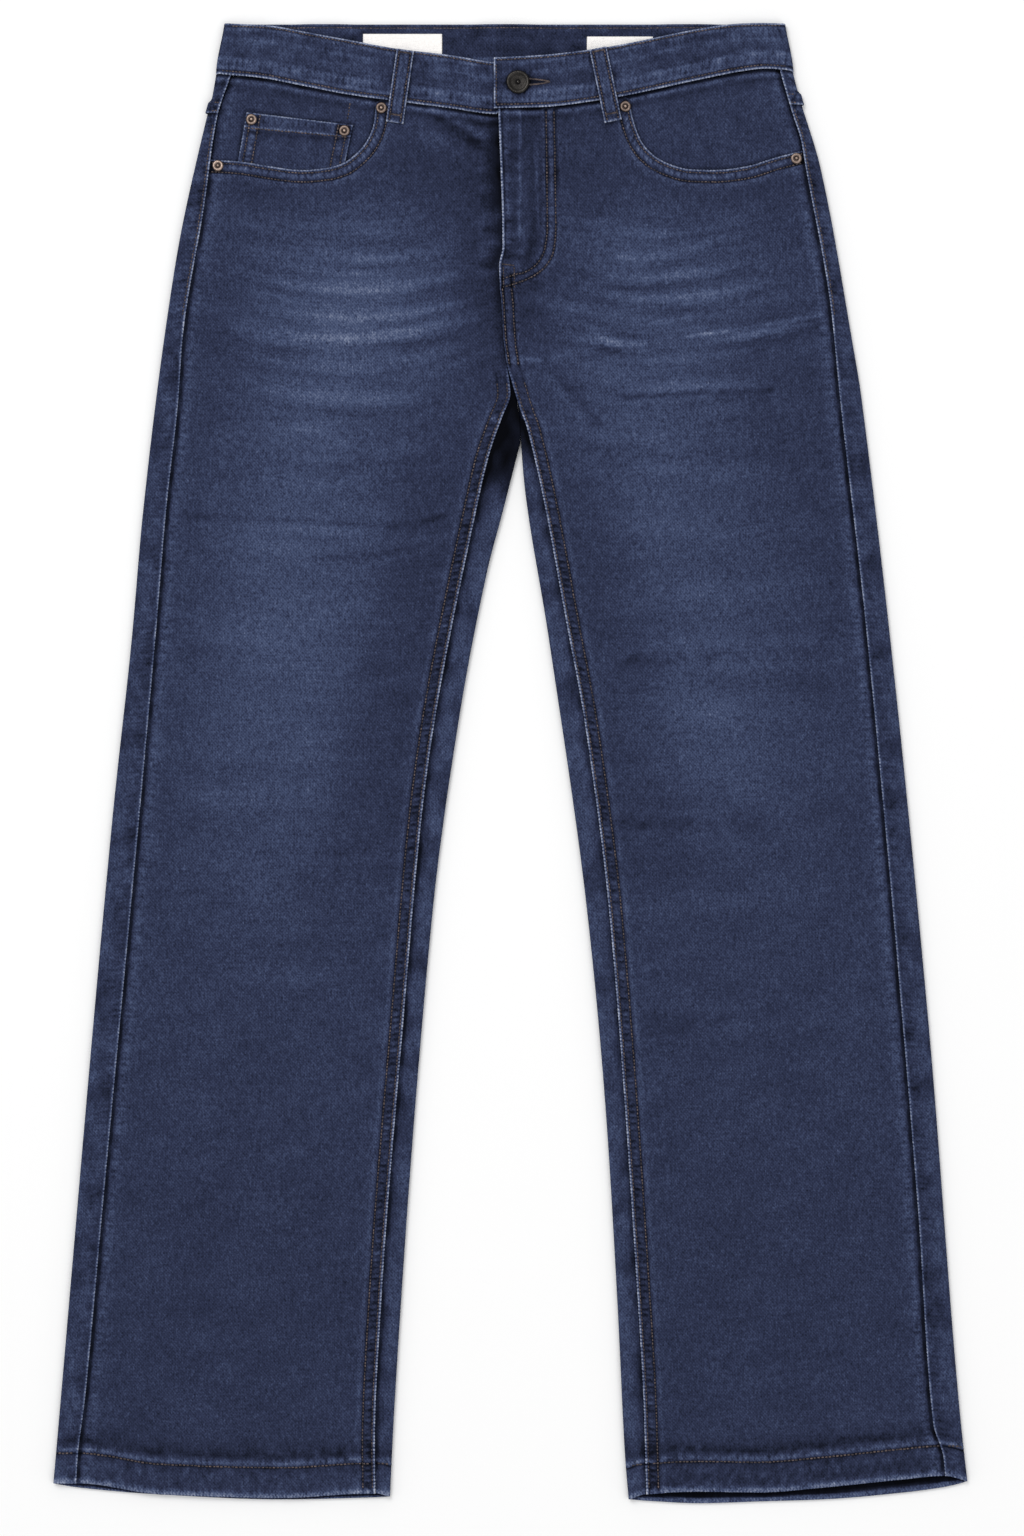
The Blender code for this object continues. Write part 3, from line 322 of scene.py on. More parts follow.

# What sewing does to cloth, with the shade painted beside it: distance from the seam, paler, higher,
# roped, dashed. Pale values are wear on ridges and folded edges. Dark values are painted shade: in the
# grooves of the stitch rows, where the cloth is also less worn, and beside raised edges. beside_fell,
# under_fly and the first steps of under_band and side_front are the painted shadow of a lapping piece.
# Zeros at the end of a row are left out
SEAM_WEAR_AND_SHADE = {
    "fell": (
        (0, 1.1, -0.45, 0, 1), (0.7, 1.1, -0.1, 0, 1), (1.1, 0.7, 0, 0, 0.8), (1.6,), (2.2, -0.55, -0.3),
        (3, -0.3, 0, 0.6), (4.2, -0.2, 0.2, 1), (6.5, -0.12, 0.25, 1), (7.7, -0.16, 0.05, 0.6),
        (8.2, -0.25, 0, 0.3), (8.9, -0.8, -0.3), (9.4, -0.5, -0.2), (10, -0.05, -0.05),
        (12.3, 0.22, 0.05, 0.4), (15.5, 0.02), (20,),
    ),
    # Painted shadow of the front's lapped inseam on the back's inner strip
    "beside_fell": ((0, -0.6), (1.4, -0.6), (2.2, -0.4), (3.4, -0.16), (7,)),
    "fly": (
        (0, 1.6, -0.5, 0, 0.7), (0.8, 1.6, -0.1, 0, 0.7), (1.3, 0.8, 0, 0, 0.3), (1.8, -0.1, -0.1),
        (2.4, -0.25), (3.2, 0.08, 0.05, 0.6), (5, 0.12, 0, 0.8), (9,),
    ),
    # Painted shadow of the fly on the front under it
    "under_fly": ((0, -0.7), (1.5, -0.55), (3.5, -0.28), (7, -0.08), (12,)),
    # Painted shadow of the back's edge, then worn cloth
    "side_front": (
        (0, -0.55, -0.25), (0.9, -0.6, -0.1), (1.7, -0.5), (2.5, -0.15, 0, 0.2), (4.3, 0.14, 0.12, 0.6),
        (7, 0.16, 0.1, 0.6), (10, 0.06, 0, 0.2), (14,),
    ),
    "side_back": (
        (0, 1.0, -0.1, 0, 0.8), (0.7, 1.1, 0.25, 0, 0.8), (1.2, 0.45, 0.25, 0, 0.3),
        (1.8, -0.15, 0.1, 0.2), (2.5, -0.2, 0.15, 0.5), (3.6, -0.16, 0.05, 0.8), (7, -0.05, 0, 0.6),
        (14, 0, 0, 0.3),
    ),
    "opening": (
        (0, 1.1, -0.5, 0, 0.5), (0.7, 1.1, -0.1, 0, 0.5), (1.1, 0.4, 0.1, 0, 0.2), (1.6,),
        (2.3, -0.45, -0.25), (3.1, -0.1, 0.1, 0.6), (4.3, 0.3, 0.3, 1), (6, 0.42, 0.3, 1),
        (6.9, 0.1, 0.1, 0.5), (7.9, -0.15, -0.1), (8.7, -0.8, -0.3), (9.4, -0.35, -0.15), (10, 0, -0.05),
        (10.5, 0.3, 0.1, 0.5), (12.2, 0.16, 0.05, 0.2), (15,),
    ),
    # Painted shadow of the waistband's edge, then a worn ridge
    "under_band": (
        (0, -0.7), (1.0, -0.6), (1.8, -0.1, 0.05), (2.8, 0.4, 0.15, 0.5), (4, 0.25, 0.1, 0.5),
        (5.5, -0.05), (7, -0.2, -0.1), (11,),
    ),
    "hem": (
        (0, 0.7, -0.4, 0, 0.5), (0.7, 0.8, -0.1, 0.2, 0.4), (2.6, 0.6, 0.1, 0.9, 0.1),
        (3.8, 0.15, 0.05, 0.5), (6.5, 0, 0, 0.2), (15, 0.03, 0.1, 0.3), (20, -0.12, -0.05),
        (21, -0.35, -0.15), (21.8, -0.75, -0.3), (22.6, 0.0, 0, 0.4), (23.6, 0.25, 0.05, 0.7),
        (24.8, 0.34, 0.15, 0.9), (27, -0.05, 0.05, 0.5), (29.6, -0.3, -0.1), (35, -0.1), (42,),
    ),
    "band_low": (
        (0, 1.35, -0.45, 0, 0.8), (0.6, 1.3, -0.1, 0, 0.8), (1.1, 0.4, 0.05, 0, 0.2), (2.0, -0.15, -0.1),
        (2.9, -0.6, -0.25), (3.7, 0.15, 0, 0.2), (4.8, 0.4, 0.12, 0.7), (7, 0.1, 0.1, 0.7),
        (11.5, 0.36, 0.2, 0.7), (14, 0.02, 0, 0.2), (18,),
    ),
    "band_top": (
        (0, 1.2, -0.6, 0, 0.4), (0.8, 1.1, -0.15, 0, 0.4), (1.3, 0.25, 0, 0, 0.1), (2.0, -0.55, -0.22),
        (2.7, 0.1), (3.8, 0.32, 0.12, 0.7), (5.5, 0.05, 0.05, 0.6), (9, 0, 0, 0.4), (11.5, 0.2, 0.1, 0.5),
        (15,),
    ),
    "coin_top": (
        (0, 0.9, -0.4, 0, 0.3), (0.7, 0.95, -0.1, 0, 0.3), (1.2, 0.1), (3, 0.15, 0.05, 0.8),
        (6, 0, 0, 0.8), (8.3, 0.12, 0.1), (9.4, 0.65, 0.2, 0, 0.4), (10.1, 0.1, 0.1), (11.2, -0.3, -0.15),
        (13, -0.2), (16,),
    ),
    "coin_side": (
        (0, 0.8, -0.4, 0, 0.5), (0.7, 0.75, -0.1, 0, 0.5), (1.2, 0.2), (2.4, 0.05, 0.05),
        (3.6, -0.45, -0.2), (5, 0.2, 0.1, 1), (8, 0.1, 0.1, 1), (10, -0.45, -0.2), (12, 0.05), (15,),
    ),
    "loop_side": (
        (0, 1.4, -0.35, 0, 0.6), (0.5, 1.2, 0, 0, 0.6), (1.0, 0.2, 0, 0, 0.1), (1.5, -0.3),
        (2.2, -0.85, -0.15), (2.9, -0.2, 0, 0.2), (3.8, 0.2, 0.12, 0.6), (6.2, 0.2, 0.15, 0.7),
    ),
    "plain_edge": ((0, 0.8, -0.3, 0, 0.3), (0.8, 0.7, 0, 0, 0.2), (1.4,), (2.4, -0.1), (4,)),
    # Painted shade in a stitch row's groove, where the cloth is also less worn, then a worn ridge
    "row": ((0, -0.7, -0.35), (0.7, -0.45, -0.15), (1.6, 0.2, 0.12, 0.9), (3.6, 0.03, 0, 0.3), (5,)),
}

# The two rows of the fly's J stitch, from the waistband down
JAY_ROWS = (
    ((25.5, 469.7), (26.2, 414.2), (26.4, 385.4), (24.8, 371),
     (19.7, 360.2), (11.1, 353.7), (1, 350.9), (-6.2, 348.3)),
    ((31.2, 469.7), (32.2, 414.2), (32.5, 385.4), (30.9, 368.9),
     (25.5, 358.1), (14.3, 349.4), (3.2, 345.1), (-6.2, 342.2)),
)

# How far rows of stitches lie from a seam or an edge
FELL_ROWS = (2.1, 8.9)
OPENING_ROWS = (2.3, 8.7)
FLY_ROWS = (1.6, 8.2)
YOKE_ROWS = (2.0, 8.4)
YOKE_END_ROWS = (1.6, 7.5)
PATCH_ROWS = (2.2, 8.6)
COIN_ROWS = (3.6, 10.0)
COIN_TOP_ROW = 10.2
LOOP_ROWS = (-4.1, 4.1)
SIDE_ROW = 2.2
HEM_ROW = 21.8
BAND_ROW = 2.6
BAND_TOP_ROW = 1.9

# Stitches: pitch, how much bolder the hems' are, height, and the tacks across the belt loops
STITCH_PITCH = 2.4
HEM_PITCH = 2.7
HEM_BOLD = 1.3
STITCH_WIDE = 1.0
STITCH_HIGH = 0.6
TACK_PITCH = 0.5
HOLE_PITCH = 0.55
CLOSE_HIGH = 0.5
LOOP_TACK_HALF = 4.6
LOOP_TACK_WIDE = 1.7

# Heights between which the rows of points are laid out, and their steps up a leg
TOP_BASE = 385.0
THIGH_Y = 235.0
ROW_STEP = 3.0
BACK_ROW_STEP = 3.4

# Too far from a seam or an edge for it to show
FAR = 99.0

# Stage, in metres: lights' place, share of the key light's power, and size
FLOOR_REACH = 12.0
FLOOR_Z = -0.0004
CAMERA_AT = (0.0010, -0.0034)
LIGHTS = {"key": ((-1.6, 2.2, 4.2), 1.0, 2.2), "fill": ((1.8, -1.6, 3.6), 0.3, 2.6)}


# Lines and heights


def curve(pairs):
    """A smooth function through (at, value) pairs that never overshoots them, level outside."""
    at, value = (np.array(column, float) for column in zip(*sorted(pairs)))
    rise = np.diff(value) / np.diff(at)
    slope = np.concatenate([rise[:1], np.zeros(len(at) - 2), rise[-1:]])
    same_way = rise[:-1] * rise[1:] > 0
    product = 2 * rise[:-1] * rise[1:]
    slope[1:-1] = np.where(same_way, product / np.where(same_way, rise[:-1] + rise[1:], 1), 0)

    def evaluate(where):
        where = np.clip(where, at[0], at[-1])
        i = np.clip(np.searchsorted(at, where) - 1, 0, len(at) - 2)
        step = at[i + 1] - at[i]
        t = (where - at[i]) / step
        first = (1 + 2 * t) * (1 - t) ** 2 * value[i] + t * t * (3 - 2 * t) * value[i + 1]
        return first + step * (t * (1 - t) ** 2 * slope[i] - t * t * (1 - t) * slope[i + 1])

    return evaluate


def curves_of(tables, column):
    """For each side, a curve from the first column of its table to this one."""
    return {side: curve([(row[0], row[column]) for row in rows]) for side, rows in tables.items()}


LINE = {name: curve(pairs) for name, pairs in LINES.items()}
HEM_FRONT, HEM_BACK = (curves_of(HEMS, column) for column in (1, 2))
WAIST_TOP, WAIST_SEAM = (curves_of(WAIST, column) for column in (1, 2))
FADE = [curves_of(FADES, column) for column in (1, 2, 3)]
body_height = curve(BODY_HEIGHT)
edge_height = curve(EDGE_HEIGHT)


def ease(t):
    t = np.clip(t, 0.0, 1.0)
    return t * t * (3 - 2 * t)


def mix(a, b, t):
    return a + (b - a) * t


def plateau(value, low, high, ramp):
    """1 between low and high, easing to 0 over ramp outside them."""
    return ease((value - low) / ramp + 1) * ease((high - value) / ramp + 1)


def ripple(x, y, seed, size, across=1.0):
    """Seeded soft unevenness, about -1 to 1, with bumps this size in mm, longer along x by across."""
    chance = np.random.default_rng(seed)
    waves = 9
    total = 0.0
    for _ in range(waves):
        turn, scale, phase = chance.uniform(0, math.tau), chance.uniform(0.6, 1.8), chance.uniform(0, 6)
        along = np.asarray(x) / across * math.cos(turn) + np.asarray(y) * math.sin(turn)
        total = total + np.sin(along * math.tau / (size * 2 * scale) + phase)
    return total / math.sqrt(waves) * 0.8


def from_line(name, x, y):
    """How far across a place is from a line."""
    return np.abs(x - LINE[name](y))


def inner_line(side, y):
    """The inner side of a front panel: its inseam, then the centre front."""
    return np.where(y < CROTCH_Y, LINE[f"{side}_inseam"](y), LINE["centre_front"](y))


def relief(x, y, folds):
    """How far folds raise the cloth."""
    height = 0.0
    for x_start, y_start, y_middle, x_end, y_end, width, rise in folds:
        t = np.clip((x - x_start) / (x_end - x_start), 0, 1)
        along = mix(y_start, y_end, t) + 4 * t * (1 - t) * (y_middle - (y_start + y_end) / 2)
        off = (y - along) / width
        ridge = 1.6 * np.exp(-off * off) - 0.6 * np.exp(-off * off / 4)
        height = height + rise * np.sin(np.pi * t) ** 0.6 * ridge
    return height


def creased(x, y):
    """The folds as they are worn in, uneven in depth along their length, with the finer creases."""
    uneven = 1 + 0.35 * ripple(x, y, 3, 16, 1.6)
    return relief(x, y, FOLDS) * (0.85 + 0.15 * uneven) + relief(x, y, CREASES) * uneven


def crumple(x, y):
    """The soft unevenness of cloth that isn't ironed."""
    return 0.3 * ripple(x, y, 5, 60, 1.7) + 0.13 * ripple(x, y, 6, 19, 1.5)


def top_height(side, x, y):
    """Height of the upper surface of the laid cloth, without laps."""
    rim = ease(1.2 - from_line(f"{side}_edge", x, y) / EDGE_REACH)
    inner_rim = ease(1.2 - from_line(f"{side}_inner", x, y) / EDGE_REACH)
    rim = np.maximum(rim, inner_rim * ease((FORK_Y + 40 - y) / FORK_BLEND))
    return mix(body_height(y), edge_height(y), rim) + creased(x, y) + crumple(x, y) * (1 - rim * 0.6)


def front_lap(side, x, y):
    """How far a front panel stands over what it laps at the inseam and the fly."""
    inner = np.abs(x - inner_line(side, y))
    lap = INSEAM_STEP * ease(1 - (inner - 10) / 6) * ease((CROTCH_Y + 10 - y) / 30)
    if side == "left":
        fly = FLY_STEP * ease(1 - inner / FLY_WIDTH) * ease((y - CROTCH_Y + 30) / 30)
        lap = np.maximum(lap, fly)
    return lap


def front_height(side, x, y):
    return top_height(side, x, y) + front_lap(side, x, y)


def seat_lift(side, x, y):
    """How far the back rises off the floor over its patch pocket."""
    off = (x - BACK_POCKET_X[side]) * TOWARDS[side]
    half = BACK_POCKET["width"] / 2
    bottom = BACK_POCKET["top_y"] - BACK_POCKET["height"]
    across = plateau(off, -half - 12, half + 28, 20)
    return POCKET_LIFT * across * plateau(y, bottom - 12, BACK_POCKET["top_y"] + 10, 20)


def loop_lift(x, y):
    """How far the waistband and the yoke rise off the floor over the back belt loops."""
    level, far = LOOP_SPREAD
    ramp = far - level
    lift = 0.0
    for centre in BACK_LOOPS.values():
        lift = np.maximum(lift, plateau(x, centre - level, centre + level, ramp))
    return LOOP_LIFT * lift * ease((y - BACK_LOOP_Y[0] + 20) / ramp)


def band_height(side, x):
    """Height of the front of the waistband over the floor."""
    rise = ease((BAND_LEVEL_TO - x * TOWARDS[side]) / BAND_RISE[side])
    return mix(BAND_EDGE_Z, BAND_END_Z[side], rise)


def facing_height(side, x, y):
    """Height of a hip pocket's facing, which lies deeper under the coin pocket."""
    drop = LAP_STEP
    if side == "right":
        inside = ease(from_line("right_side", x, y) / 12) * ease((480 - y) / 7)
        drop = drop + (COIN_WALL + GAP) * inside
    return top_height(side, x, y) - drop


def run_of(xy):
    """How far along a line each of its points is."""
    return np.concatenate([[0], np.cumsum(np.hypot(*np.diff(xy, axis=0).T))])


class Path:
    """A line on the garment through (x, y) pairs in mm, measured along its length."""

    EVERY = 4  # distances are measured to pieces of the line this many steps long

    def __init__(self, pairs, step=0.5, smooth=True):
        pairs = np.array(pairs, float)
        along = run_of(pairs)
        places = np.linspace(0, along[-1], max(2, round(along[-1] / step)))
        if smooth:
            xs, ys = (curve(list(zip(along, pairs[:, i])))(places) for i in (0, 1))
        else:
            places = np.union1d(places, along)
            xs, ys = (np.interp(places, along, pairs[:, i]) for i in (0, 1))
        self.xy = np.column_stack([xs, ys])
        self.along = run_of(self.xy)
        self.length = self.along[-1]

    def at(self, places):
        return np.column_stack([np.interp(places, self.along, self.xy[:, i]) for i in (0, 1)])

    def beside(self, off):
        """The line this far to its right."""
        way = np.gradient(self.xy, axis=0)
        way /= np.hypot(*way.T)[:, None]
        return self.xy + off * np.column_stack([way[:, 1], -way[:, 0]])

    def away(self, x, y):
        """Distance of each point from the line and its place along it."""
        best = np.full(np.shape(x), 1e6)
        place = np.zeros(np.shape(x))
        points = np.concatenate([self.xy[:-1:self.EVERY], self.xy[-1:]])
        starts = np.concatenate([self.along[:-1:self.EVERY], self.along[-1:]])
        for (x0, y0), (x1, y1), start, end in zip(points, points[1:], starts, starts[1:]):
            dx, dy = x1 - x0, y1 - y0
            t = np.clip(((x - x0) * dx + (y - y0) * dy) / (dx * dx + dy * dy), 0, 1)
            off = np.hypot(x - x0 - t * dx, y - y0 - t * dy)
            nearer = off < best
            best = np.where(nearer, off, best)
            place = np.where(nearer, mix(start, end, t), place)
        return best, place


def through(xs, ys):
    """A path through places that lie close together."""
    return Path(np.column_stack(np.broadcast_arrays(xs, ys)), smooth=False)


# Shaders


def srgb(*levels):
    """A display colour out of 255 as a linear one."""
    shares = [level / 255 for level in levels]
    return [s / 12.92 if s <= 0.04045 else ((s + 0.055) / 1.055) ** 2.4 for s in shares]


class Value:
    """A node's output that is added, scaled and shaped like a number."""

    def __init__(self, finish, socket):
        self.finish, self.socket = finish, socket

    def math(self, operation, *others, clamp=False):
        settings = {"operation": operation, "use_clamp": clamp}
        return self.finish.node("ShaderNodeMath", settings, dict(enumerate((self, *others))))

    def stretched(self, scales):
        """A place with its three parts scaled."""
        values = {0: self, 1: scales}
        return self.finish.node("ShaderNodeVectorMath", {"operation": "MULTIPLY"}, values, "Vector")

    def __add__(self, other):
        return self.math("ADD", other)

    __radd__ = __add__

    def __sub__(self, other):
        return self.math("SUBTRACT", other)

    def __rsub__(self, other):
        return self * -1 + other

    def __mul__(self, other):
        return self.math("MULTIPLY", other)

    __rmul__ = __mul__

    def sine(self):
        return self.math("SINE")

    def clamped(self):
        """Kept between 0 and 1."""
        return self.math("ADD", 0.0, clamp=True)

    def step(self, low, high):
        """0 below low, 1 above high, eased between."""
        settings = {"interpolation_type": "SMOOTHSTEP"}
        return self.finish.node("ShaderNodeMapRange", settings, {0: self, 1: low, 2: high})


class Finish:
    """A material that is built node by node."""

    def __init__(self, name):
        self.material = bpy.data.materials.new(name)
        self.material.use_nodes = True
        self.tree = self.material.node_tree
        self.shader = self.tree.nodes["Principled BSDF"]

    def node(self, kind, settings=None, values=None, out=0):
        """The output of a new node, from its type, settings and socket values."""
        made = self.tree.nodes.new(kind)
        for name, value in (settings or {}).items():
            if name == "stops":
                self.stops(made.color_ramp.elements, value)
            else:
                setattr(made, name, value)
        for name, value in (values or {}).items():
            self.feed(made.inputs[name], value)
        return Value(self, made.outputs[out])

    def stops(self, elements, stops):
        """Sets the colours of a ramp and where they stand on it."""
        while len(elements) < len(stops):
            elements.new(1.0)
        for element, (at, colour) in zip(elements, stops):
            element.position = at
        for element, (at, colour) in zip(elements, stops):
            element.color = (*colour, 1.0)

    def feed(self, socket, value):
        """Links a socket to another node's output, or sets it to a number or a colour."""
        if isinstance(value, Value):
            self.tree.links.new(value.socket, socket)
        elif socket.type == "RGBA" and len(value) == 3:
            socket.default_value = (*value, 1.0)
        else:
            socket.default_value = value

    def surface(self, **values):
        """Sets the shader's sockets, with spaces in their names as underscores."""
        for name, value in values.items():
            self.feed(self.shader.inputs[name.replace("_", " ")], value)

    def attribute(self, name):
        return self.node("ShaderNodeAttribute", {"attribute_name": name}, out="Fac")

    def place(self):
        return self.node("ShaderNodeTexCoord", out="Object")

    def noise(self, place, scale, detail=2.0, rough=0.5, stretch=None):
        """Noise about -1 to 1, drawn out along the axes whose stretch is small."""
        if stretch:
            place = place.stretched(stretch)
        values = {"Vector": place, "Scale": scale, "Detail": detail, "Roughness": rough}
        return (self.node("ShaderNodeTexNoise", None, values) - 0.5) * 3.0

    def joined(self, x, y, z):
        """A place from three values."""
        return self.node("ShaderNodeCombineXYZ", None, {0: x, 1: y, 2: z})

    def colours(self, value, stops):
        return self.node("ShaderNodeValToRGB", {"stops": stops}, {0: value}, "Color")

    def blend(self, share, first, second):
        """A colour between two."""
        settings = {"data_type": "RGBA"}
        return self.node("ShaderNodeMix", settings, {0: share, 6: first, 7: second}, 2)

    def bump(self, height, depth):
        values = {"Height": height, "Distance": depth, "Strength": 1.0}
        self.surface(Normal=self.node("ShaderNodeBump", None, values, "Normal"))


def denim_finish(name, chosen):
    """Washed indigo twill. Its tone is 1 on plain cloth, 1.5 where it is washed out, 3 on a worn edge, and
    lower where shade is painted.
    """
    cloth = Finish(name)
    tone, rope, dash, along, off, streak, bend, inside = (cloth.attribute(n) for n in WEAR_AND_SHADE)
    place = cloth.place()
    at = cloth.node("ShaderNodeSeparateXYZ", None, {0: place}, "X")
    up, high = (Value(cloth, at.socket.node.outputs[axis]) for axis in "YZ")
    slub = cloth.noise(place, 900, 2, 0.6, (1, 0.2, 1))
    weft = cloth.noise(place, 820, 2, 0.6, (0.2, 1, 1))
    grain = cloth.noise(place, 560, 3, 0.65)
    mottle = cloth.noise(place, 170, 3, 0.6, (1, 0.8, 1))
    cloud = cloth.noise(place, 34, stretch=(1, 0.8, 1))
    twill = ((at * 1.1 + up) * (math.tau / 0.0025) + grain * 1.7).sine()
    cross = ((at * 1.1 - up) * (math.tau / 0.0028) + grain * 1.9).sine()
    lines = cloth.joined(at * 60, up * 1000 - bend, 0)
    streaks = cloth.noise(lines, 0.12)
    wisps = cloth.noise(lines, 0.4, 2, 0.6, (1.2, 1, 1))
    blobs = cloth.noise(cloth.joined(along + off * 0.1, off * 0.36, at * 9), 0.32, 2, 0.6)
    rungs = ((along + off * 0.12) * (math.tau / 4.3) + blobs * 2.0).sine()
    ropes = blobs * 0.8 + rungs * rope * 0.34
    dashes = (along * (math.tau / STITCH_PITCH) + mottle * 1.5).sine()
    flecks = cloth.noise(place, 1000, 1, stretch=(1, 0.36, 1)).step(0.35, 0.85)
    weave = slub * 0.24 + weft * 0.12 + grain * 0.34 + twill * 0.08 + cross * 0.05
    weave = weave + (flecks - 0.08) * 0.3
    worn = ropes * rope * 0.62 + (dashes * 0.6 + grain * 0.7) * dash
    worn = worn + (streaks * 0.26 + wisps * 0.16) * streak
    # Painted shade: the inner side of a back, seen in the opening of a hem, is darkened by its inside
    # value.
    tone = tone - inside * high.step(0.0008, 0.0016)
    value = tone * (1.0 + weave + mottle * 0.08 + cloud * 0.025) + worn
    indigo, washed, pale = (Vector(c) for c in (chosen.indigo, chosen.washed, chosen.worn))
    stops = [(0.0, indigo * 0.04), (0.125, indigo * 0.27), (0.25, indigo), (0.375, washed),
             (0.5, washed.lerp(pale, 0.27)), (0.75, pale), (1.0, pale.lerp(Vector((1, 1, 1)), 0.35))]
    cloth.surface(Base_Color=cloth.colours(value * 0.25, stops), Roughness=0.95)
    cloth.shader.inputs["Specular IOR Level"].default_value = 0.06
    cloth.bump(slub * 0.25 + weft * 0.2 + grain * 0.35 + twill * 0.3 + ropes * rope * 1.2, 0.0003)
    return cloth.material


def thread_finish(name, chosen):
    """Top stitching thread, pale and dark in patches."""
    thread = Finish(name)
    place = thread.place()
    patch, fleck, ply = (thread.noise(place, *size) for size in ((55, 2), (430, 1), (1700, 1)))
    share = (patch * 0.3 + fleck * 0.75 + ply * 0.3 + 0.27).clamped()
    thread.surface(Base_Color=thread.blend(share, chosen.thread_dark, chosen.thread_pale), Roughness=0.6)
    thread.bump(ply, 0.0001)
    return thread.material


def metal_finish(name, chosen, trim, rough):
    """Antiqued metal: bright where it is rubbed, dark in its hollows."""
    metal = Finish(name)
    place = metal.place()
    rubbed = metal.attribute("tone")
    speck, patina = metal.noise(place, 900, 3), metal.noise(place, 260)
    share = (rubbed + speck * 0.12 + patina * 0.14).clamped()
    dark, bright = getattr(chosen, f"{trim}_dark"), getattr(chosen, trim)
    metal.surface(Base_Color=metal.blend(share, dark, bright), Metallic=1.0,
                  Roughness=rough + 0.12 * speck + (1 - share) * 0.15)
    metal.bump(speck, 0.00006)
    return metal.material


def label_finish(name, chosen):
    """Matt white weave, faintly stained."""
    label = Finish(name)
    place = label.place()
    warp, weft = (label.noise(place, 1800, 1, stretch=way) for way in ((1, 0.2, 1), (0.2, 1, 1)))
    value = (warp + weft) * 0.05 + label.noise(place, 60) * 0.04 + 0.8
    white = Vector(chosen.label)
    stops = [(0.0, white * 0.6), (0.75, white), (1.0, white * 1.04)]
    label.surface(Base_Color=label.colours(value, stops), Roughness=0.85)
    label.bump(warp + weft, 0.00015)
    return label.material


def tape_finish(name, chosen):
    """Ribbed tape, darker than the cloth."""
    tape = Finish(name)
    rib = tape.noise(tape.place(), 1500, 1, stretch=(0.25, 1, 1))
    dark = Vector(chosen.indigo)
    stops = [(0.0, dark * 0.4), (1.0, dark * 1.1)]
    tape.surface(Base_Color=tape.colours(rib * 0.25 + 0.5, stops), Roughness=0.88)
    tape.bump(rib, 0.0002)
    return tape.material


FINISHES = {}

# Each slot's maker, its material's name, and what else it is made with
MAKERS = {
    "denim": (denim_finish, "washed_denim"),
    "denim_band": (denim_finish, "washed_band"),
    "thread": (thread_finish, "topstitch_thread"),
    "antique_copper": (metal_finish, "rubbed_copper", "copper", 0.38),
    "gunmetal": (metal_finish, "rubbed_gunmetal", "button", 0.3),
    "label_cloth": (label_finish, "bare_label"),
    "zip_tape": (tape_finish, "woven_tape"),
}


def finish(slot, context):
    """The material of this slot in the chosen colours, made when it is first asked for."""
    chosen = context.scene.jeans_colours
    key = (slot, *(tuple(getattr(chosen, colour_name)) for colour_name in chosen.__annotations__))
    if key not in FINISHES:
        maker, name, *more = MAKERS[slot]
        FINISHES[key] = maker(name, chosen, *more)
    return FINISHES[key]


# Pieces

# The tone carries painted shade as well as wear, and inside is painted shade only.
WEAR_AND_SHADE = ("tone", "rope", "dash", "along", "off", "streak", "bend", "inside")
SURFACES = {}
COLLECTION = "straight_leg_jeans_dressed"
PROFILES = {kind: np.array([(*row, 0, 0, 0, 0)[:5] for row in rows]) for kind, rows in SEAM_WEAR_AND_SHADE.items()}


def garment():
    """The collection of the pieces, made when it is first asked for."""
    if COLLECTION not in bpy.data.collections:
        bpy.context.scene.collection.children.link(bpy.data.collections.new(COLLECTION))
    return bpy.data.collections[COLLECTION]


def add_object(name, mesh, material, context, *nodes):
    """Adds a piece, which rides on the garment and stands for these nodes."""
    obj = bpy.data.objects.new(name, mesh)
    garment().objects.link(obj)
    mesh.materials.append(finish(material, context))
    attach(obj, "root")
    if nodes:
        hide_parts(*nodes)
    return obj


class Cloth:
    """Points of a piece in rows, with the wear and relief that its sewing gives them, and the shade
    painted on them.
    """

    def __init__(self, x, y, z, tone=1.0):
        self.x, self.y, self.z = (np.broadcast_to(a, np.shape(x)).astype(float) for a in (x, y, z))
        self.tone = np.broadcast_to(tone, np.shape(x)).astype(float)
        self.rope, self.dash, self.along, self.streak, self.bend, self.inside = np.zeros((6, *np.shape(x)))
        self.off = np.full(np.shape(x), FAR)

    def sew(self, kind, off, along, seed, share=1.0, raised=True):
        """Wears and raises the cloth by its distance from a seam of this kind, and paints the shade beside
        it.
        """
        table = PROFILES[kind]
        reach = (off <= table[-1, 0]) * share
        paler, higher, rope, dash = (np.interp(off, table[:, 0], column) * reach for column in table.T[1:])
        uneven = 1 + 0.3 * ripple(along, off * 2, seed, 9)
        self.lighten(paler * uneven)
        self.rope = np.maximum(self.rope, rope)
        self.dash = np.maximum(self.dash, dash)
        if raised:
            pucker = 1 + 0.5 * ripple(along, off * 0.5, seed + 50, 4.5)
            self.z = self.z + higher * pucker
        nearer = (off < self.off) & (reach > 0)
        self.off = np.where(nearer, off, self.off)
        self.along = np.where(nearer, along, self.along)

    def rub(self, x0, y0, x1, y1, width, paler):
        """Makes the cloth paler in patches along a rubbed line, or darker along a line of painted shade.
        """
        off, _ = Path(((x0, y0), (x1, y1)), step=2, smooth=False).away(self.x, self.y)
        patchy = 1 + 0.5 * ripple(self.x, self.y, 28, 5)
        self.lighten(paler * patchy * np.exp(-((off / width) ** 2)))

    def shade(self, at, radius, deep=0.45, reach=2.6):
        """Paints shadow on the cloth round a trim of this radius."""
        off = np.hypot(self.x - at[0], self.y - at[1]) - radius
        self.darken(deep * ease(1 - off / reach))

    def lighten(self, amount):
        self.tone = self.tone + amount

    def darken(self, amount):
        self.tone = self.tone - amount

    def points(self):
        return np.stack([self.x, self.y, self.z], axis=-1) * MM


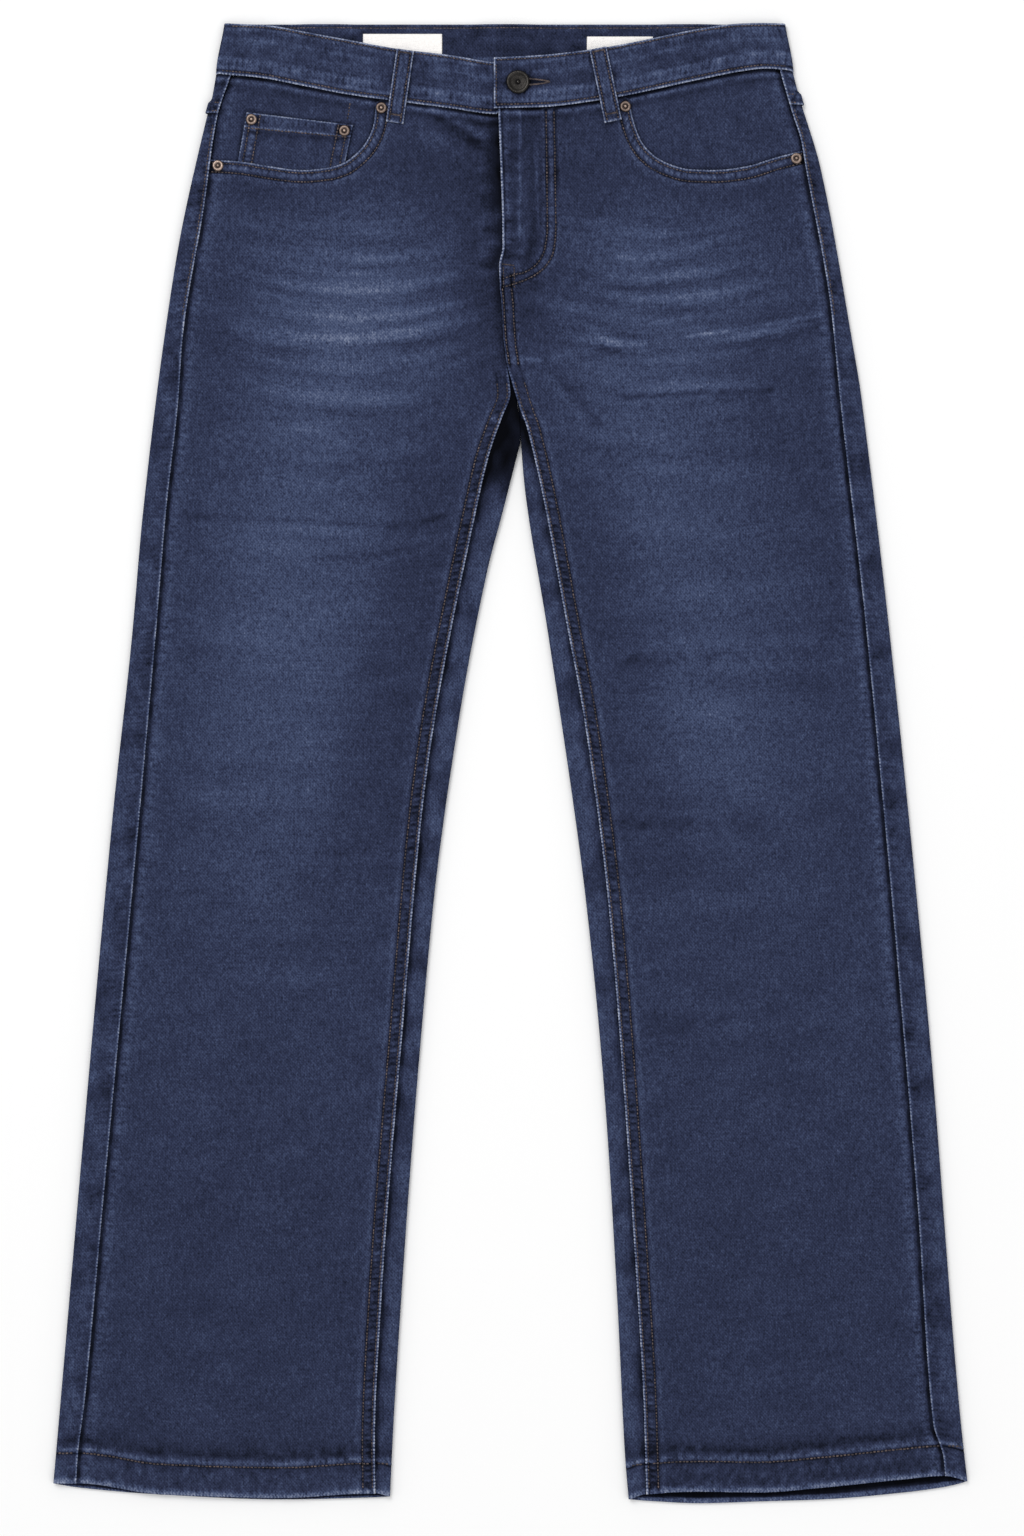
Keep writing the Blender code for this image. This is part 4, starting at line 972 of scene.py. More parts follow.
def grid_faces(rows, columns, start):
    """Four-sided faces of a grid, turning anticlockwise from its first row to its second."""
    i = np.arange(rows * columns).reshape(rows, columns) + start
    return np.stack([i[:-1, :-1], i[:-1, 1:], i[1:, 1:], i[1:, :-1]], axis=-1).reshape(-1, 4)


def weld(points, faces, values):
    """Joins points that lie on each other, and drops faces that this closes up."""
    keys = np.round(points / 0.00002).astype(np.int64)
    _, first, index = np.unique(keys, axis=0, return_index=True, return_inverse=True)
    faces = index.reshape(-1)[faces]
    kept = [list(dict.fromkeys(face)) for face in faces.tolist()]
    return points[first], [face for face in kept if len(face) > 2], values[:, first]


def mesh_of(name, points, faces, values=None, smooth=True):
    """A mesh from points in metres, with a value of each kind of wear and painted shade at every point."""
    mesh = bpy.data.meshes.new(name)
    mesh.from_pydata(points, [], faces)
    for key, data in (values or {}).items():
        mesh.attributes.new(key, "FLOAT", "POINT").data.foreach_set("value", np.array(data, np.float32))
    if smooth:
        mesh.shade_smooth()
    return mesh


def lay_cloth(context, name, grids, wall, slot="denim", hemmed=False,
              under=False):
    """Lays a piece of cloth and tells how it is cut: a wall inside open grids of points, the first
    face of the first grid looking up, or down for a piece that is seen from under.

    A piece that is hemmed has its full wall in the hem only, and one layer of denim above it.
    """
    points, faces, values, count = [], [], [], 0
    for cloth in grids:
        rows, columns = cloth.x.shape
        faces.append(grid_faces(rows, columns, count))
        points.append(cloth.points().reshape(-1, 3))
        values.append(np.stack([getattr(cloth, key).reshape(-1) for key in WEAR_AND_SHADE]))
        count += rows * columns
    points, faces, values = np.concatenate(points), np.concatenate(faces), np.concatenate(values, axis=1)
    a, b, c = (points[faces[0][i]] for i in range(3))
    if (np.cross(b - a, c - a)[2] < 0) != under:
        faces = faces[:, ::-1]
    points, faces, values = weld(points, faces, values)
    mesh = mesh_of(f"{name}_cloth", points.tolist(), faces, dict(zip(WEAR_AND_SHADE, values)))
    SURFACES[name] = BVHTree.FromPolygons([Vector(p) for p in points], faces)
    piece = add_object(f"{name}_cloth", mesh, slot, context, name)
    solid = piece.modifiers.new("cloth", "SOLIDIFY")
    solid.thickness = wall * MM
    solid.offset = -1
    solid.use_even_offset = True
    solid.use_quality_normals = True
    if hemmed:
        in_hem = np.nonzero(points[:, 1] < HEM_TOP * MM)[0]
        group = piece.vertex_groups.new(name="full_thickness")
        group.add(in_hem.tolist(), 1.0, "REPLACE")
        solid.vertex_group = group.name
        solid.thickness_vertex_group = denim_wall(context) / wall


def denim_wall(context):
    """Thickness of one layer of denim in mm."""
    return context.scene.jeans_sizes.denim / MM


def across(outer, inner, near, far, middle):
    """Places from outer to inner: at the distances near from outer and far from inner, and this many
    evenly between them."""
    outer, inner = np.asarray(outer, float)[..., None], np.asarray(inner, float)[..., None]
    way = np.sign(inner - outer)
    first = outer + way * np.array(near)
    last = inner - way * np.array(far[::-1])
    share = np.linspace(0, 1, middle + 2)[1:-1]
    between = first[..., -1:] + (last[..., :1] - first[..., -1:]) * share
    return np.concatenate([first, between, last], axis=-1)


def own_column(places):
    """From places worked out for every column at every point, the place of each point's column."""
    i = np.arange(places.shape[-1])
    return places[:, i, i]


def wash(side, x, y):
    """How much paler the washed middle of a thigh is."""
    middle, width, amount = (part[side](y) for part in FADE)
    return amount * (np.exp(-(((x - middle) / width) ** 2)) - 0.15)


def base_tone(side, x, y):
    """Cloth colour before its seams: washed thighs, worn folds with painted light and shade, darker lower
    legs, crotch and hips.
    """
    low = 0.06 * ease((-150 - y) / 250)
    folds = np.clip(creased(x, y), -0.6, mix(0.25, 1.6, ease((y - 170) / 70)))
    crotch = 0.1 * ease(1 - np.hypot((x + 4) / 60, (y - 330) / 130))
    blotch = 0.03 * ripple(x, y, 12, 26) + 0.025 * ripple(x, y, 13, 9)
    hip = 0.11 * ease((y - 385) / 40)
    from_inseam = from_line(f"{side}_inseam", x, y)
    inner_leg = 0.07 * plateau(y, -60, 195, 60) * plateau(from_inseam, 16, 50, 25)
    # Folds are paler on their crests, where they are worn, and darker in their troughs as painted shade.
    # The difference of the folds a little below and above paints light on their sides towards the waist
    # and shade on their sides towards the hems.
    crest_light_and_shade = relief(x, y - 1.2, FOLDS) - relief(x, y + 2.4, FOLDS)
    worn_and_shaded_folds = 0.29 * folds + 0.17 * crest_light_and_shade * ease((y - 200) / 50)
    return 1.02 - low - hip - crotch - inner_leg + wash(side, x, y) + worn_and_shaded_folds + blotch


def whisker(side, x, y):
    """How strongly fine streaks show on a front, and how far they bow up from level, in mm."""
    middle = WHISKER_MIDDLE[side]
    high = plateau(y, 292, 375, 42) * np.exp(-(((x - middle) / 95) ** 2))
    low = 0.2 * plateau(y, -80, 230, 120) * np.exp(-(((x - middle) / 80) ** 2))
    bow = WHISKER_BOW * (x - middle) ** 2
    return np.maximum(0.6 * high, low) + 0.1, bow * ease((y + 20) / 260)


def top_edge(side, columns, near, far, corner_share):
    """The upper edge of a front panel and the line STRIP below it: points for each column, and
    the column at the corner between the pocket opening and the waistband's seam."""
    towards = TOWARDS[side]
    opening = Path(OPENINGS[side])
    start, end = OPENINGS[side][-1][0], LINE["centre_front"](470) + HALF_GAP * towards
    xs = np.linspace(start, end, 150)
    seam = through(xs, WAIST_SEAM[side](xs) - GAP)
    inside = -towards * STRIP
    low_opening, low_seam = opening.beside(inside), seam.beside(inside)
    gaps = np.hypot(*(low_opening[:, None] - low_seam[None]).transpose(2, 0, 1))
    i, k = np.unravel_index(np.argmin(gaps), gaps.shape)
    middle = columns - len(near) - len(far)
    corner = len(near) + round(middle * corner_share)
    lines = []
    for first, second in ((opening.xy, seam.xy), (low_opening[:i + 1], low_seam[k:])):
        first, second = Path(first, smooth=False), Path(second, smooth=False)
        between = np.linspace(near[-1], first.length, corner - len(near) + 2)[1:]
        one = np.concatenate([near, between])
        two = np.linspace(0, second.length - far[-1], columns - len(far) - corner + 1)[1:-1]
        two = np.concatenate([two, second.length - np.array(far[::-1])])
        lines.append(np.concatenate([first.at(one), second.at(two)]))
    return lines[0], lines[1], corner


def front_cloth(side):
    """A front panel: its leg in level rows, then rows that fan out to the pocket and the waist."""
    towards = TOWARDS[side]
    near, far = NEAR, FLY_NEAR if side == "left" else NEAR
    middle = 46 if side == "left" else 54
    columns = len(near) + middle + len(far)

    def outer(y):
        return LINE[f"{side}_side"](y) - HALF_GAP * towards

    def inner(y):
        return inner_line(side, y) + HALF_GAP * towards

    hem_y = HEM_FRONT[side](across(outer(HEM_MIDDLE), inner(HEM_MIDDLE), near, far, middle))
    low = hem_y + np.array(HEM_STEPS)[:, None]
    rise = mix(low[-1], HEM_BLEND, np.linspace(0, 1, 13)[1:-1, None])
    steps = np.concatenate([np.arange(HEM_BLEND, THIGH_Y, ROW_STEP), np.linspace(THIGH_Y, TOP_BASE, 84)])
    leg = np.repeat(steps[:, None], columns, axis=1)
    y = np.concatenate([low, rise, leg])
    x = own_column(across(outer(y), inner(y), near, far, middle))

    edge, strip, corner = top_edge(side, columns, near, far, 0.66)
    base = np.column_stack([x[-1], y[-1]])
    share = np.linspace(0, 1, 15)[1:, None, None]
    lower = mix(base[None], strip[None], share)
    offs = np.array(NEAR[::-1])[1:]
    upper = mix(edge[None], strip[None], (offs / STRIP)[:, None, None])
    top = np.concatenate([lower, upper])
    for end, close, way, seam_x in ((0, near, 1, outer), (-1, far, -1, inner)):
        from_end = np.concatenate([close, np.full(columns - len(close), FAR)])[::way]
        pull = np.clip(1 - from_end / close[-1], 0, 1)
        top[..., 0] += (seam_x(top[:, end, 1]) - top[:, end, 0])[:, None] * pull
    x, y = np.concatenate([x, top[..., 0]]), np.concatenate([y, top[..., 1]])

    cloth = Cloth(x, y, front_height(side, x, y), base_tone(side, x, y))
    cloth.streak, cloth.bend = whisker(side, x, y)
    from_hem = y - hem_y
    from_side = np.abs(x - outer(y))
    from_inner = np.abs(x - inner(y))
    from_top = np.full(y.shape, FAR)
    from_top[-len(offs):] = offs[:, None]
    from_top[-len(offs) - len(share):-len(offs)] = STRIP + 30 * (1 - share[:, :, 0])
    place = np.broadcast_to(run_of(edge), y.shape)
    column = np.arange(columns)
    on_opening = np.clip(corner - column + 0.5, 0, 1)
    # The side seam's profile begins with the painted shadow of the back's edge.
    cloth.sew("side_front", from_side, y, 21)
    in_leg = ease((CROTCH_Y + 4 - y) / 8)
    cloth.sew("fell", from_inner, y, 22, share=in_leg * mix(0.45, 1, ease((262 - y) / 20)))
    if side == "left":
        cloth.sew("fly", from_inner, y, 23, share=(1 - in_leg) * mix(0.15, 1, ease((y - 343) / 8)))
    else:
        # Painted shadow of the fly, which laps the right front.
        cloth.sew("under_fly", from_inner, y, 23, share=(1 - in_leg) * mix(0.5, 1, ease((y - 380) / 40)))
    cloth.sew("opening", from_top, place, 24, share=on_opening)
    # Painted shadow under the waistband's edge, then a worn ridge.
    cloth.sew("under_band", from_top, place, 25, share=1 - on_opening)
    cloth.sew("hem", from_hem, x, 26)
    puckers = ripple(x, y, 30, 4.5, 0.8) * (x > 0) + ripple(x, y, 31, 5, 0.8) * (x < 0)
    cloth.lighten(0.16 * puckers * plateau(from_hem, 3, 32, 6))
    rungs = 0.2 * ripple(x, y, 34, 4.2, 2.6) * plateau(from_inner, 3, 14, 4)
    cloth.lighten(rungs * ease((y - 345) / 10))
    # Rubbed lines, and painted shade in creases and beside the fly.
    for line in RUBBED_AND_SHADED[side]:
        cloth.rub(*line)
    # Painted shadow round the hip rivets.
    for name in (f"rivet_hip_{side}_top", f"rivet_hip_{side}_side"):
        cloth.shade(RIVETS[name], RIVET_RADIUS)
    if side == "left":
        for line in JAY_ROWS:
            off, along = Path(line).away(x, y)
            cloth.sew("row", off, along, 27, share=0.9)
        for off in FLY_ROWS:
            cloth.sew("row", np.abs(from_inner - off), y, 29, share=plateau(y, CROTCH_Y + 3, 350, 4))
    # Darker beside the fly: on the right front this is painted shade next to the fly that laps it, on the
    # left front it darkens the cloth along the fly.
    darker, reach, ramp = (0.15, 25, 10) if side == "left" else (0.12, 20, 25)
    beside_fly = ease(1 - (from_inner - reach) / ramp) * ease((y - 300) / 40)
    cloth.darken(darker * beside_fly)
    return cloth


# Backs and yokes: each column is a function from y to (x, z)


def side_columns(side):
    """The back's columns from the side seam on top, round the folded edge, to the floor."""
    towards = TOWARDS[side]

    def edge_and_radius(y):
        edge = LINE[f"{side}_edge"](y)
        return edge, top_height(side, edge, y) / 2

    def strip(share):
        def place(y):
            edge, radius = edge_and_radius(y)
            seam = LINE[f"{side}_side"](y) + HALF_GAP * towards
            x = mix(seam, edge - radius * towards, share)
            return x, top_height(side, x, y)
        return place

    def arc(turn):
        def place(y):
            edge, radius = edge_and_radius(y)
            return edge - radius * towards * (1 - math.sin(turn)), radius * (1 + math.cos(turn))
        return place

    strips = [strip(share) for share in STRIP_SHARES[:-1]]
    return strips + [arc(math.pi * i / ARC_STEPS) for i in range(ARC_STEPS + 1)]


def inner_fold(side, y):
    """Both folds at the inner edge of a leg: place of the edge on top and on the floor, height of
    the cloth, and how flat it lies above the fork."""
    towards = TOWARDS[side]
    below = y <= FORK_Y
    edge = np.where(below, LINE[f"{side}_inner"](y), LINE["seat_wedge"](y) + HALF_GAP * towards)
    floor_edge = np.where(below, edge, LINE["centre_back"](y) + HALF_GAP * towards)
    flat = np.where(below, 0.0, ease((y - FORK_Y) / 6))
    return edge, floor_edge, top_height(side, edge, y), flat


def fold_column(side, turn, upper):
    """A column round the fold at a leg's inner edge, on its upper or its lower half."""
    towards = TOWARDS[side]

    def place(y):
        edge, floor_edge, high, flat = inner_fold(side, y)
        radius = high / 2
        if upper:
            x = edge + radius * towards * (1 - math.cos(turn))
            return x, mix(radius * (1 + math.sin(turn)), high, flat)
        x = floor_edge + radius * towards * (1 - math.sin(turn))
        return x, mix(radius * (1 - math.cos(turn)), 0, flat)
    return place


def floor_column(side, share):
    """A column of the back on the floor, this share of the way across."""
    first, last = side_columns(side)[-1], fold_column(side, 0.0, False)

    def place(y):
        x = mix(first(y)[0], last(y)[0], share)
        return x, seat_lift(side, x, y)
    return place


def flap_column(side, share):
    """A column of the back's strip on top, this share of the way from the fold to the inseam."""
    towards = TOWARDS[side]
    fold = fold_column(side, math.pi / 2, True)

    def place(y):
        start = fold(y)[0]
        seam = LINE[f"{side}_inseam"](y) - HALF_GAP * towards
        x = mix(start, seam, share)
        return x, top_height(side, x, y)
    return place


def laid(columns, y):
    """x and z of every column at rows of y, one y for each column."""
    both = [column(y[:, i]) for i, column in enumerate(columns)]
    return np.stack([x for x, _ in both], axis=1), np.stack([z for _, z in both], axis=1)


def leg_rows(side, columns, top):
    """Rows of y for a back panel's columns, from its hem to the top."""
    x, z = laid(columns, np.full((1, len(columns)), HEM_MIDDLE))
    hem = mix(HEM_BACK[side](x[0]), HEM_FRONT[side](x[0]), ease((z[0] - 1.5) / 3))
    low = hem + np.array(HEM_STEPS)[:, None]
    rise = mix(low[-1], HEM_BLEND, np.linspace(0, 1, 9)[1:-1, None])
    step = (top - HEM_BLEND) / round((top - HEM_BLEND) / BACK_ROW_STEP)
    leg = np.arange(HEM_BLEND, top + 0.1, step)
    return np.concatenate([low, rise, np.repeat(leg[:, None], len(columns), axis=1)]), hem


def yoke_y(side, x, near_y, on_top):
    """Height up the leg of the yoke's seam, which falls towards the centre of the back."""
    edge = LINE[f"{side}_edge"](near_y)
    centre = LINE["centre_back"](near_y)
    fallen = mix(YOKE_AT_SIDE[side], YOKE_AT_CENTRE, np.clip((x - edge) / (centre - edge), 0, 1))
    return np.where(on_top, YOKE_AT_SIDE[side], fallen)


def back_tone(side, x, y, z):
    """Colour of the backs and yokes: paler on the seat, streaked where they come up on top."""
    high = ease((z - 1.5) / 2)
    strip = 0.13 + 0.1 * ripple(x, y, 31, 8, 0.7) - 0.24 * np.clip(ripple(x, y, 32, 11, 2.0), 0, 1)
    seat = 0.22 * np.exp(-((x - BACK_POCKET_X[side]) / 70) ** 2 - ((y - 290) / 120) ** 2)
    under = 1.0 + seat + 0.06 * ripple(x, y, 33, 24) - 0.05 * ease((-150 - y) / 250)
    return mix(under, 0.97 + strip, high)


def back_cloths(side):
    """A back panel: what lies on the floor with its outer strip on top, and its inner strip."""
    towards = TOWARDS[side]
    half = ARC_STEPS // 2
    main = side_columns(side)
    rounded = len(main)
    main += [floor_column(side, share) for share in np.linspace(0, 1, FLOOR_COLUMNS)[1:-1]]
    main += [fold_column(side, math.pi / 2 * i / half, False) for i in range(half + 1)]
    flap = [fold_column(side, math.pi / 2 * i / half, True) for i in range(half + 1)]
    flap += [flap_column(side, 1 - share) for share in STRIP_SHARES[-2::-1]]

    y, hem = leg_rows(side, main, FORK_Y)
    more = np.repeat(np.linspace(FORK_Y, TOP_BASE, 46)[1:, None], len(main), axis=1)
    y = np.concatenate([y, more])
    on_top = np.arange(len(main)) < ON_TOP
    near_y = np.linspace(TOP_BASE, YOKE_AT_SIDE[side], 25)[1:]
    x_near, _ = laid(main, np.repeat(near_y[:, None], len(main), axis=1))
    tops = yoke_y(side, x_near, near_y[:, None], on_top) - HALF_GAP
    share = np.linspace(0, 1, 25)[1:, None]
    y = np.concatenate([y, mix(TOP_BASE, tops, share)])
    x, z = laid(main, y)
    hollows = np.clip(relief(x, y, BACK_CREASES), 0, 0.7) * (np.arange(len(main)) >= rounded)
    # The hollows are raised, and darkened as painted shade.
    cloth = Cloth(x, y, z + hollows, back_tone(side, x, y, z) - 0.3 * hollows)
    from_side = from_line(f"{side}_side", x, y) + FAR * (np.arange(len(main)) > rounded - half)
    cloth.sew("side_back", from_side, y, 41, share=mix(0.75, 1, ease((y - 300) / 40)))
    below = z < 2.5
    cloth.sew("hem", y - hem, x, 42, share=np.where(below, 0.65, 1.0), raised=False)
    seam_off = np.abs(tops[-1] - y)
    # Painted shadow under the waistband's edge.
    cloth.sew("under_band", seam_off, x, 43, share=np.where(below, 1.0, 0.7), raised=False)
    centre = from_line("centre_back", x, y) + FAR * (y < FORK_Y)
    # Painted shadow beside the centre back seam, then worn cloth.
    cloth.sew("side_front", centre, y, 44, raised=False)
    # Painted shade on the cloth on top in the wedge between the legs at the crotch.
    cloth.darken(0.9 * np.where(below, 0, 1) * ease((y - 200) / 30) * (np.abs(x) < 30))
    # Painted shade on the inner side of the back, inside each hem's opening beyond the front's hem edge.
    beyond, shown = HEM_FRONT[side](x) - y, HEM_FRONT[side](x) - HEM_BACK[side](x)
    cloth.inside = 0.93 * below * plateau(beyond, -5, 0.5 * shown, 0.9)

    y2, hem2 = leg_rows(side, flap, FORK_Y)
    more = np.repeat(np.linspace(FORK_Y, WEDGE_TOP[side], 15)[1:, None], len(flap), axis=1)
    y2 = np.concatenate([y2, more])
    x2, z2 = laid(flap, y2)
    narrow = (x2[:, -1:] - x2[:, half:half + 1]) * towards < 2
    x2 = np.where(narrow, mix(x2[:, :1], x2[:, -1:], np.linspace(0, 1, len(flap))), x2)
    z2 = np.where(narrow, top_height(side, x2, y2), z2)
    inner = Cloth(x2, y2, z2, back_tone(side, x2, y2, np.maximum(z2, 4)))
    # Painted shadow of the front's lapped inseam on the inner strip.
    inner.sew("beside_fell", from_line(f"{side}_inseam", x2, y2), y2, 45,
              share=1.0 if side == "right" else 0.6, raised=False)
    inner.sew("hem", y2 - hem2, x2, 46, raised=False)
    # Painted shade on the inner strip towards the crotch, after a slight lightening all over.
    start, reach = CROTCH_SHADE[side]
    inner.lighten(0.06 - ease((y2 - start) / reach))
    return cloth, inner


def yoke_cloth(side):
    """A yoke, between its back and the waistband and round the hip to the side seam on top."""
    towards = TOWARDS[side]
    columns = side_columns(side)
    rounded = len(columns)
    shares = np.concatenate([np.ones(len(STRIP_SHARES) - 1),
                             (1 + np.cos(np.pi * np.arange(ARC_STEPS + 1) / ARC_STEPS)) / 2])
    rows = []
    for t in np.concatenate([[0, 0.03, 0.07, 0.12], np.linspace(0.2, 0.8, 10), [0.88, 0.93, 0.97, 1]]):
        near_y = mix(YOKE_AT_SIDE[side], BACK_SEAM_Y, t)
        centre = LINE["centre_back"](near_y) + HALF_GAP * towards
        start_x = columns[-1](np.array([near_y]))[0][0]
        floor_x = np.linspace(start_x, centre, 44)[1:]
        xs = np.concatenate([[column(np.array([near_y]))[0][0] for column in columns], floor_x])
        share = np.concatenate([shares, np.zeros(len(floor_x))])
        start = yoke_y(side, xs, near_y, np.arange(len(xs)) < ON_TOP) + HALF_GAP
        end = mix(BACK_SEAM_Y, WAIST_SEAM[side](xs), share) - GAP
        y = mix(start, end, t)
        x, z = xs.copy(), loop_lift(xs, y)
        for i, column in enumerate(columns):
            place = column(y[i:i + 1])
            x[i], z[i] = place[0][0], place[1][0]
        rows.append(np.stack([x, y, z], axis=-1))
    at = np.array(rows)
    x, y, z = at[..., 0], at[..., 1], at[..., 2]
    ridge = plateau(y, YOKE_AT_SIDE[side] + 0.5, YOKE_AT_SIDE[side] + 8.5, 1.2)
    x = x + YOKE_RIDGE * towards * ridge * ease(1.1 - from_line(f"{side}_edge", x, y) / 5)
    cloth = Cloth(x, y, z, back_tone(side, x, y, z) + 0.3 * ridge * np.clip(ripple(x, y, 54, 3), 0, 1))
    hidden = np.arange(x.shape[1]) > rounded - ARC_STEPS // 2
    from_side = from_line(f"{side}_side", x, y) + FAR * hidden
    cloth.sew("side_back", from_side, y, 51)
    cloth.sew("fell", y - y[0], x, 52, share=0.7, raised=False)
    # Painted shadow under the waistband's edge.
    cloth.sew("under_band", y[-1] - y, x, 53, raised=False)
    return cloth


# Waistband


def band_stations():
    """Places round the waistband from its hidden end: x, y of its top and its seam, and z."""
    stops = []

    def front(side, xs):
        top, seam = WAIST_TOP[side](xs), WAIST_SEAM[side](xs)
        stops.append(np.column_stack([xs, top, seam, band_height(side, xs)]))

    def rounded(side, turns):
        edge = LINE[f"{side}_edge"](BACK_SEAM_Y)
        radius = BAND_EDGE_Z / 2
        x = edge - radius * TOWARDS[side] * (1 - np.sin(turns))
        share = (1 + np.cos(turns)) / 2
        top = mix(BACK_TOP_Y, WAIST_TOP[side](edge), share)
        seam = mix(BACK_SEAM_Y, WAIST_SEAM[side](edge), share)
        stops.append(np.column_stack([x, top, seam, BAND_EDGE_Z * share]))

    turns = np.pi * np.arange(ARC_STEPS + 1) / ARC_STEPS
    ends = {side: LINE[f"{side}_edge"](BACK_SEAM_Y) - BAND_EDGE_Z / 2 * TOWARDS[side] for side in TOWARDS}
    front("right", np.concatenate([BAND_ENDS["right"] - np.array([0, 0.4, 1, 2]),
                                   np.linspace(21, ends["right"], 96)[:-1]]))
    rounded("right", turns)
    xs = np.linspace(ends["right"], ends["left"], 130)[1:-1]
    stops.append(np.column_stack([xs, np.full(len(xs), BACK_TOP_Y), np.full(len(xs), BACK_SEAM_Y),
                                  loop_lift(xs, BACK_TOP_Y)]))
    rounded("left", turns[::-1])
    front("left", np.concatenate([np.linspace(ends["left"], -8.5, 90)[1:],
                                  BAND_ENDS["left"] + np.array([2.6, 1.8, 1.2, 0.7, 0.3, 0])]))
    return np.concatenate(stops)


def leaned(x, y):
    """Place across on the waistband, whose sides lean inwards towards its top."""
    lean = BAND_LEAN * ease((y - BACK_SEAM_Y) / 45) * ease((np.abs(x) - 120) / 80)
    return x - np.copysign(lean, x)


def band_cloth():
    """The waistband: rows from its seam to its top, columns from its hidden end to the one on top."""
    x, top, seam, z = band_stations().T
    columns = len(x)
    tall = top - seam
    near = np.array(BAND_NEAR)
    offs = np.concatenate([near[:, None] / tall, [np.full(columns, 0.5)], 1 - near[::-1, None] / tall])
    y = mix(seam, top, offs)
    x = leaned(np.broadcast_to(x, y.shape), y)
    z = np.broadcast_to(z, y.shape)
    column, shown = np.arange(columns), 96 + ARC_STEPS // 2
    front = (column < shown) | (column > columns - shown)
    tone = 1.0 + 0.1 * ripple(x, y, 61, 14, 1.4) + 0.12 * ripple(x, y, 62, 4.5, 1.5)
    # Darker over the ends' overlap by the fly; the back of the band, which lies deeper than its front, is
    # darker by painted shade.
    tone = tone - 0.1 * (x > -12) * (x < 20) - np.where(front, 0, 0.14)
    cloth = Cloth(x, y, z, tone)
    place = np.broadcast_to(run_of(np.column_stack([x[0], z[0]])), y.shape)
    cloth.sew("band_low", y - seam, place, 63, raised=False)
    cloth.sew("band_top", top - y, place, 64, share=np.where(front, 1, 0.35), raised=False)
    end = np.abs(x - BAND_ENDS["left"]) + FAR * ~front + FAR * (z < 8.5)
    cloth.sew("plain_edge", end, y, 65, share=1.7, raised=False)
    cloth.streak = np.broadcast_to(np.where(front, 0.55, 0.3), y.shape)
    cloth.bend = np.broadcast_to(seam, y.shape)
    waves = 0.22 * ripple(place, y * 0.8, 66, 11) * plateau(y, seam + 3, top - 3, 4)
    edges = ((PROFILES["band_low"], y - seam), (PROFILES["band_top"], top - y))
    raised = sum(np.interp(off, *table[:, (0, 2)].T) for table, off in edges)
    cloth.z = cloth.z + np.where(front, waves + raised * 0.8, 0)
    # Painted shade in the slit of the buttonhole.
    slit = np.hypot(np.maximum(np.abs(x - SLIT["x"]) - SLIT["half"], 0), y - SLIT["y"])
    wide = 1.3 + 1.6 * ease((29 - x) / 18)
    cloth.darken(0.7 * np.exp(-((slit / wide) ** 2)) * (z > 8.5))
    # Painted shadow along both sides of each front belt loop.
    for ends in FRONT_LOOPS.values():
        off, _ = Path(ends, step=4, smooth=False).away(x, y)
        cloth.darken(np.where(front, 0.4 * ease(1 - (off - 6) / 2.6), 0))
    # Painted shadow round the button, kept on the front of the band only.
    unshaded = cloth.tone
    cloth.shade(BUTTON_AT, BUTTON_RADIUS, 0.55, 2.2)
    cloth.tone = np.where(front, cloth.tone, unshaded)
    return cloth


# Pockets and loops


def facing_cloth(side):
    """What shows inside a hip pocket's opening, and its lower edge under the front."""
    towards = TOWARDS[side]
    opening = Path(OPENINGS[side])
    columns = 64
    places = opening.at(np.linspace(0, opening.length, columns))
    share = np.linspace(0, 1, columns)
    low_x = places[:, 0] - FACING_REACH * towards * ease((share - 0.45) / 0.3)
    low_y = places[:, 1] - FACING_REACH * ease((0.9 - share) / 0.4)
    first_x = LINE[f"{side}_side"](BACK_SEAM_Y)
    top_x = mix(first_x, OPENINGS[side][-1][0] - FACING_REACH * towards, share)
    top_y = WAIST_SEAM[side](top_x) - 2 * GAP
    t = np.concatenate([np.linspace(0, 0.9, 22), [0.93, 0.95, 0.97, 0.985, 1]])[:, None]
    x, y = mix(low_x, top_x, t), mix(low_y, top_y, t)
    shift = LINE[f"{side}_side"](y[:, :1]) - HALF_GAP * towards - x[:, :1]
    x = x + shift * np.clip(1 - share * 6, 0, 1)
    tone = 0.98 + 0.05 * ripple(x, y, 71, 14) + 0.04 * ripple(x, y, 72, 5)
    cloth = Cloth(x, y, facing_height(side, x, y), tone)
    away, _ = opening.away(x, y)
    # Painted shadow beside the side seam, then worn cloth.
    cloth.sew("side_front", from_line(f"{side}_side", x, y), y, 73, share=0.8)
    # Painted shadow under the waistband's edge.
    cloth.sew("under_band", top_y - y, x, 74)
    # Painted shadow of the front's edge along the pocket opening.
    cloth.darken(0.34 * ease(1 - away / 2.4))
    # Painted shadow round the coin pocket's edges.
    if side == "right":
        outline = Path(COIN_CORNERS + COIN_CORNERS[:1], smooth=False)
        cloth.darken(0.42 * ease(1 - outline.away(x, y)[0] / 2.6))
    return cloth


def close_to_edges(width, middle):
    """Shares across a piece of this width: close by both of its edges and even between them."""
    near = np.array(NEAR) / width
    return np.concatenate([near, np.linspace(near[-1], 1 - near[-1], middle + 2)[1:-1], 1 - near[::-1]])


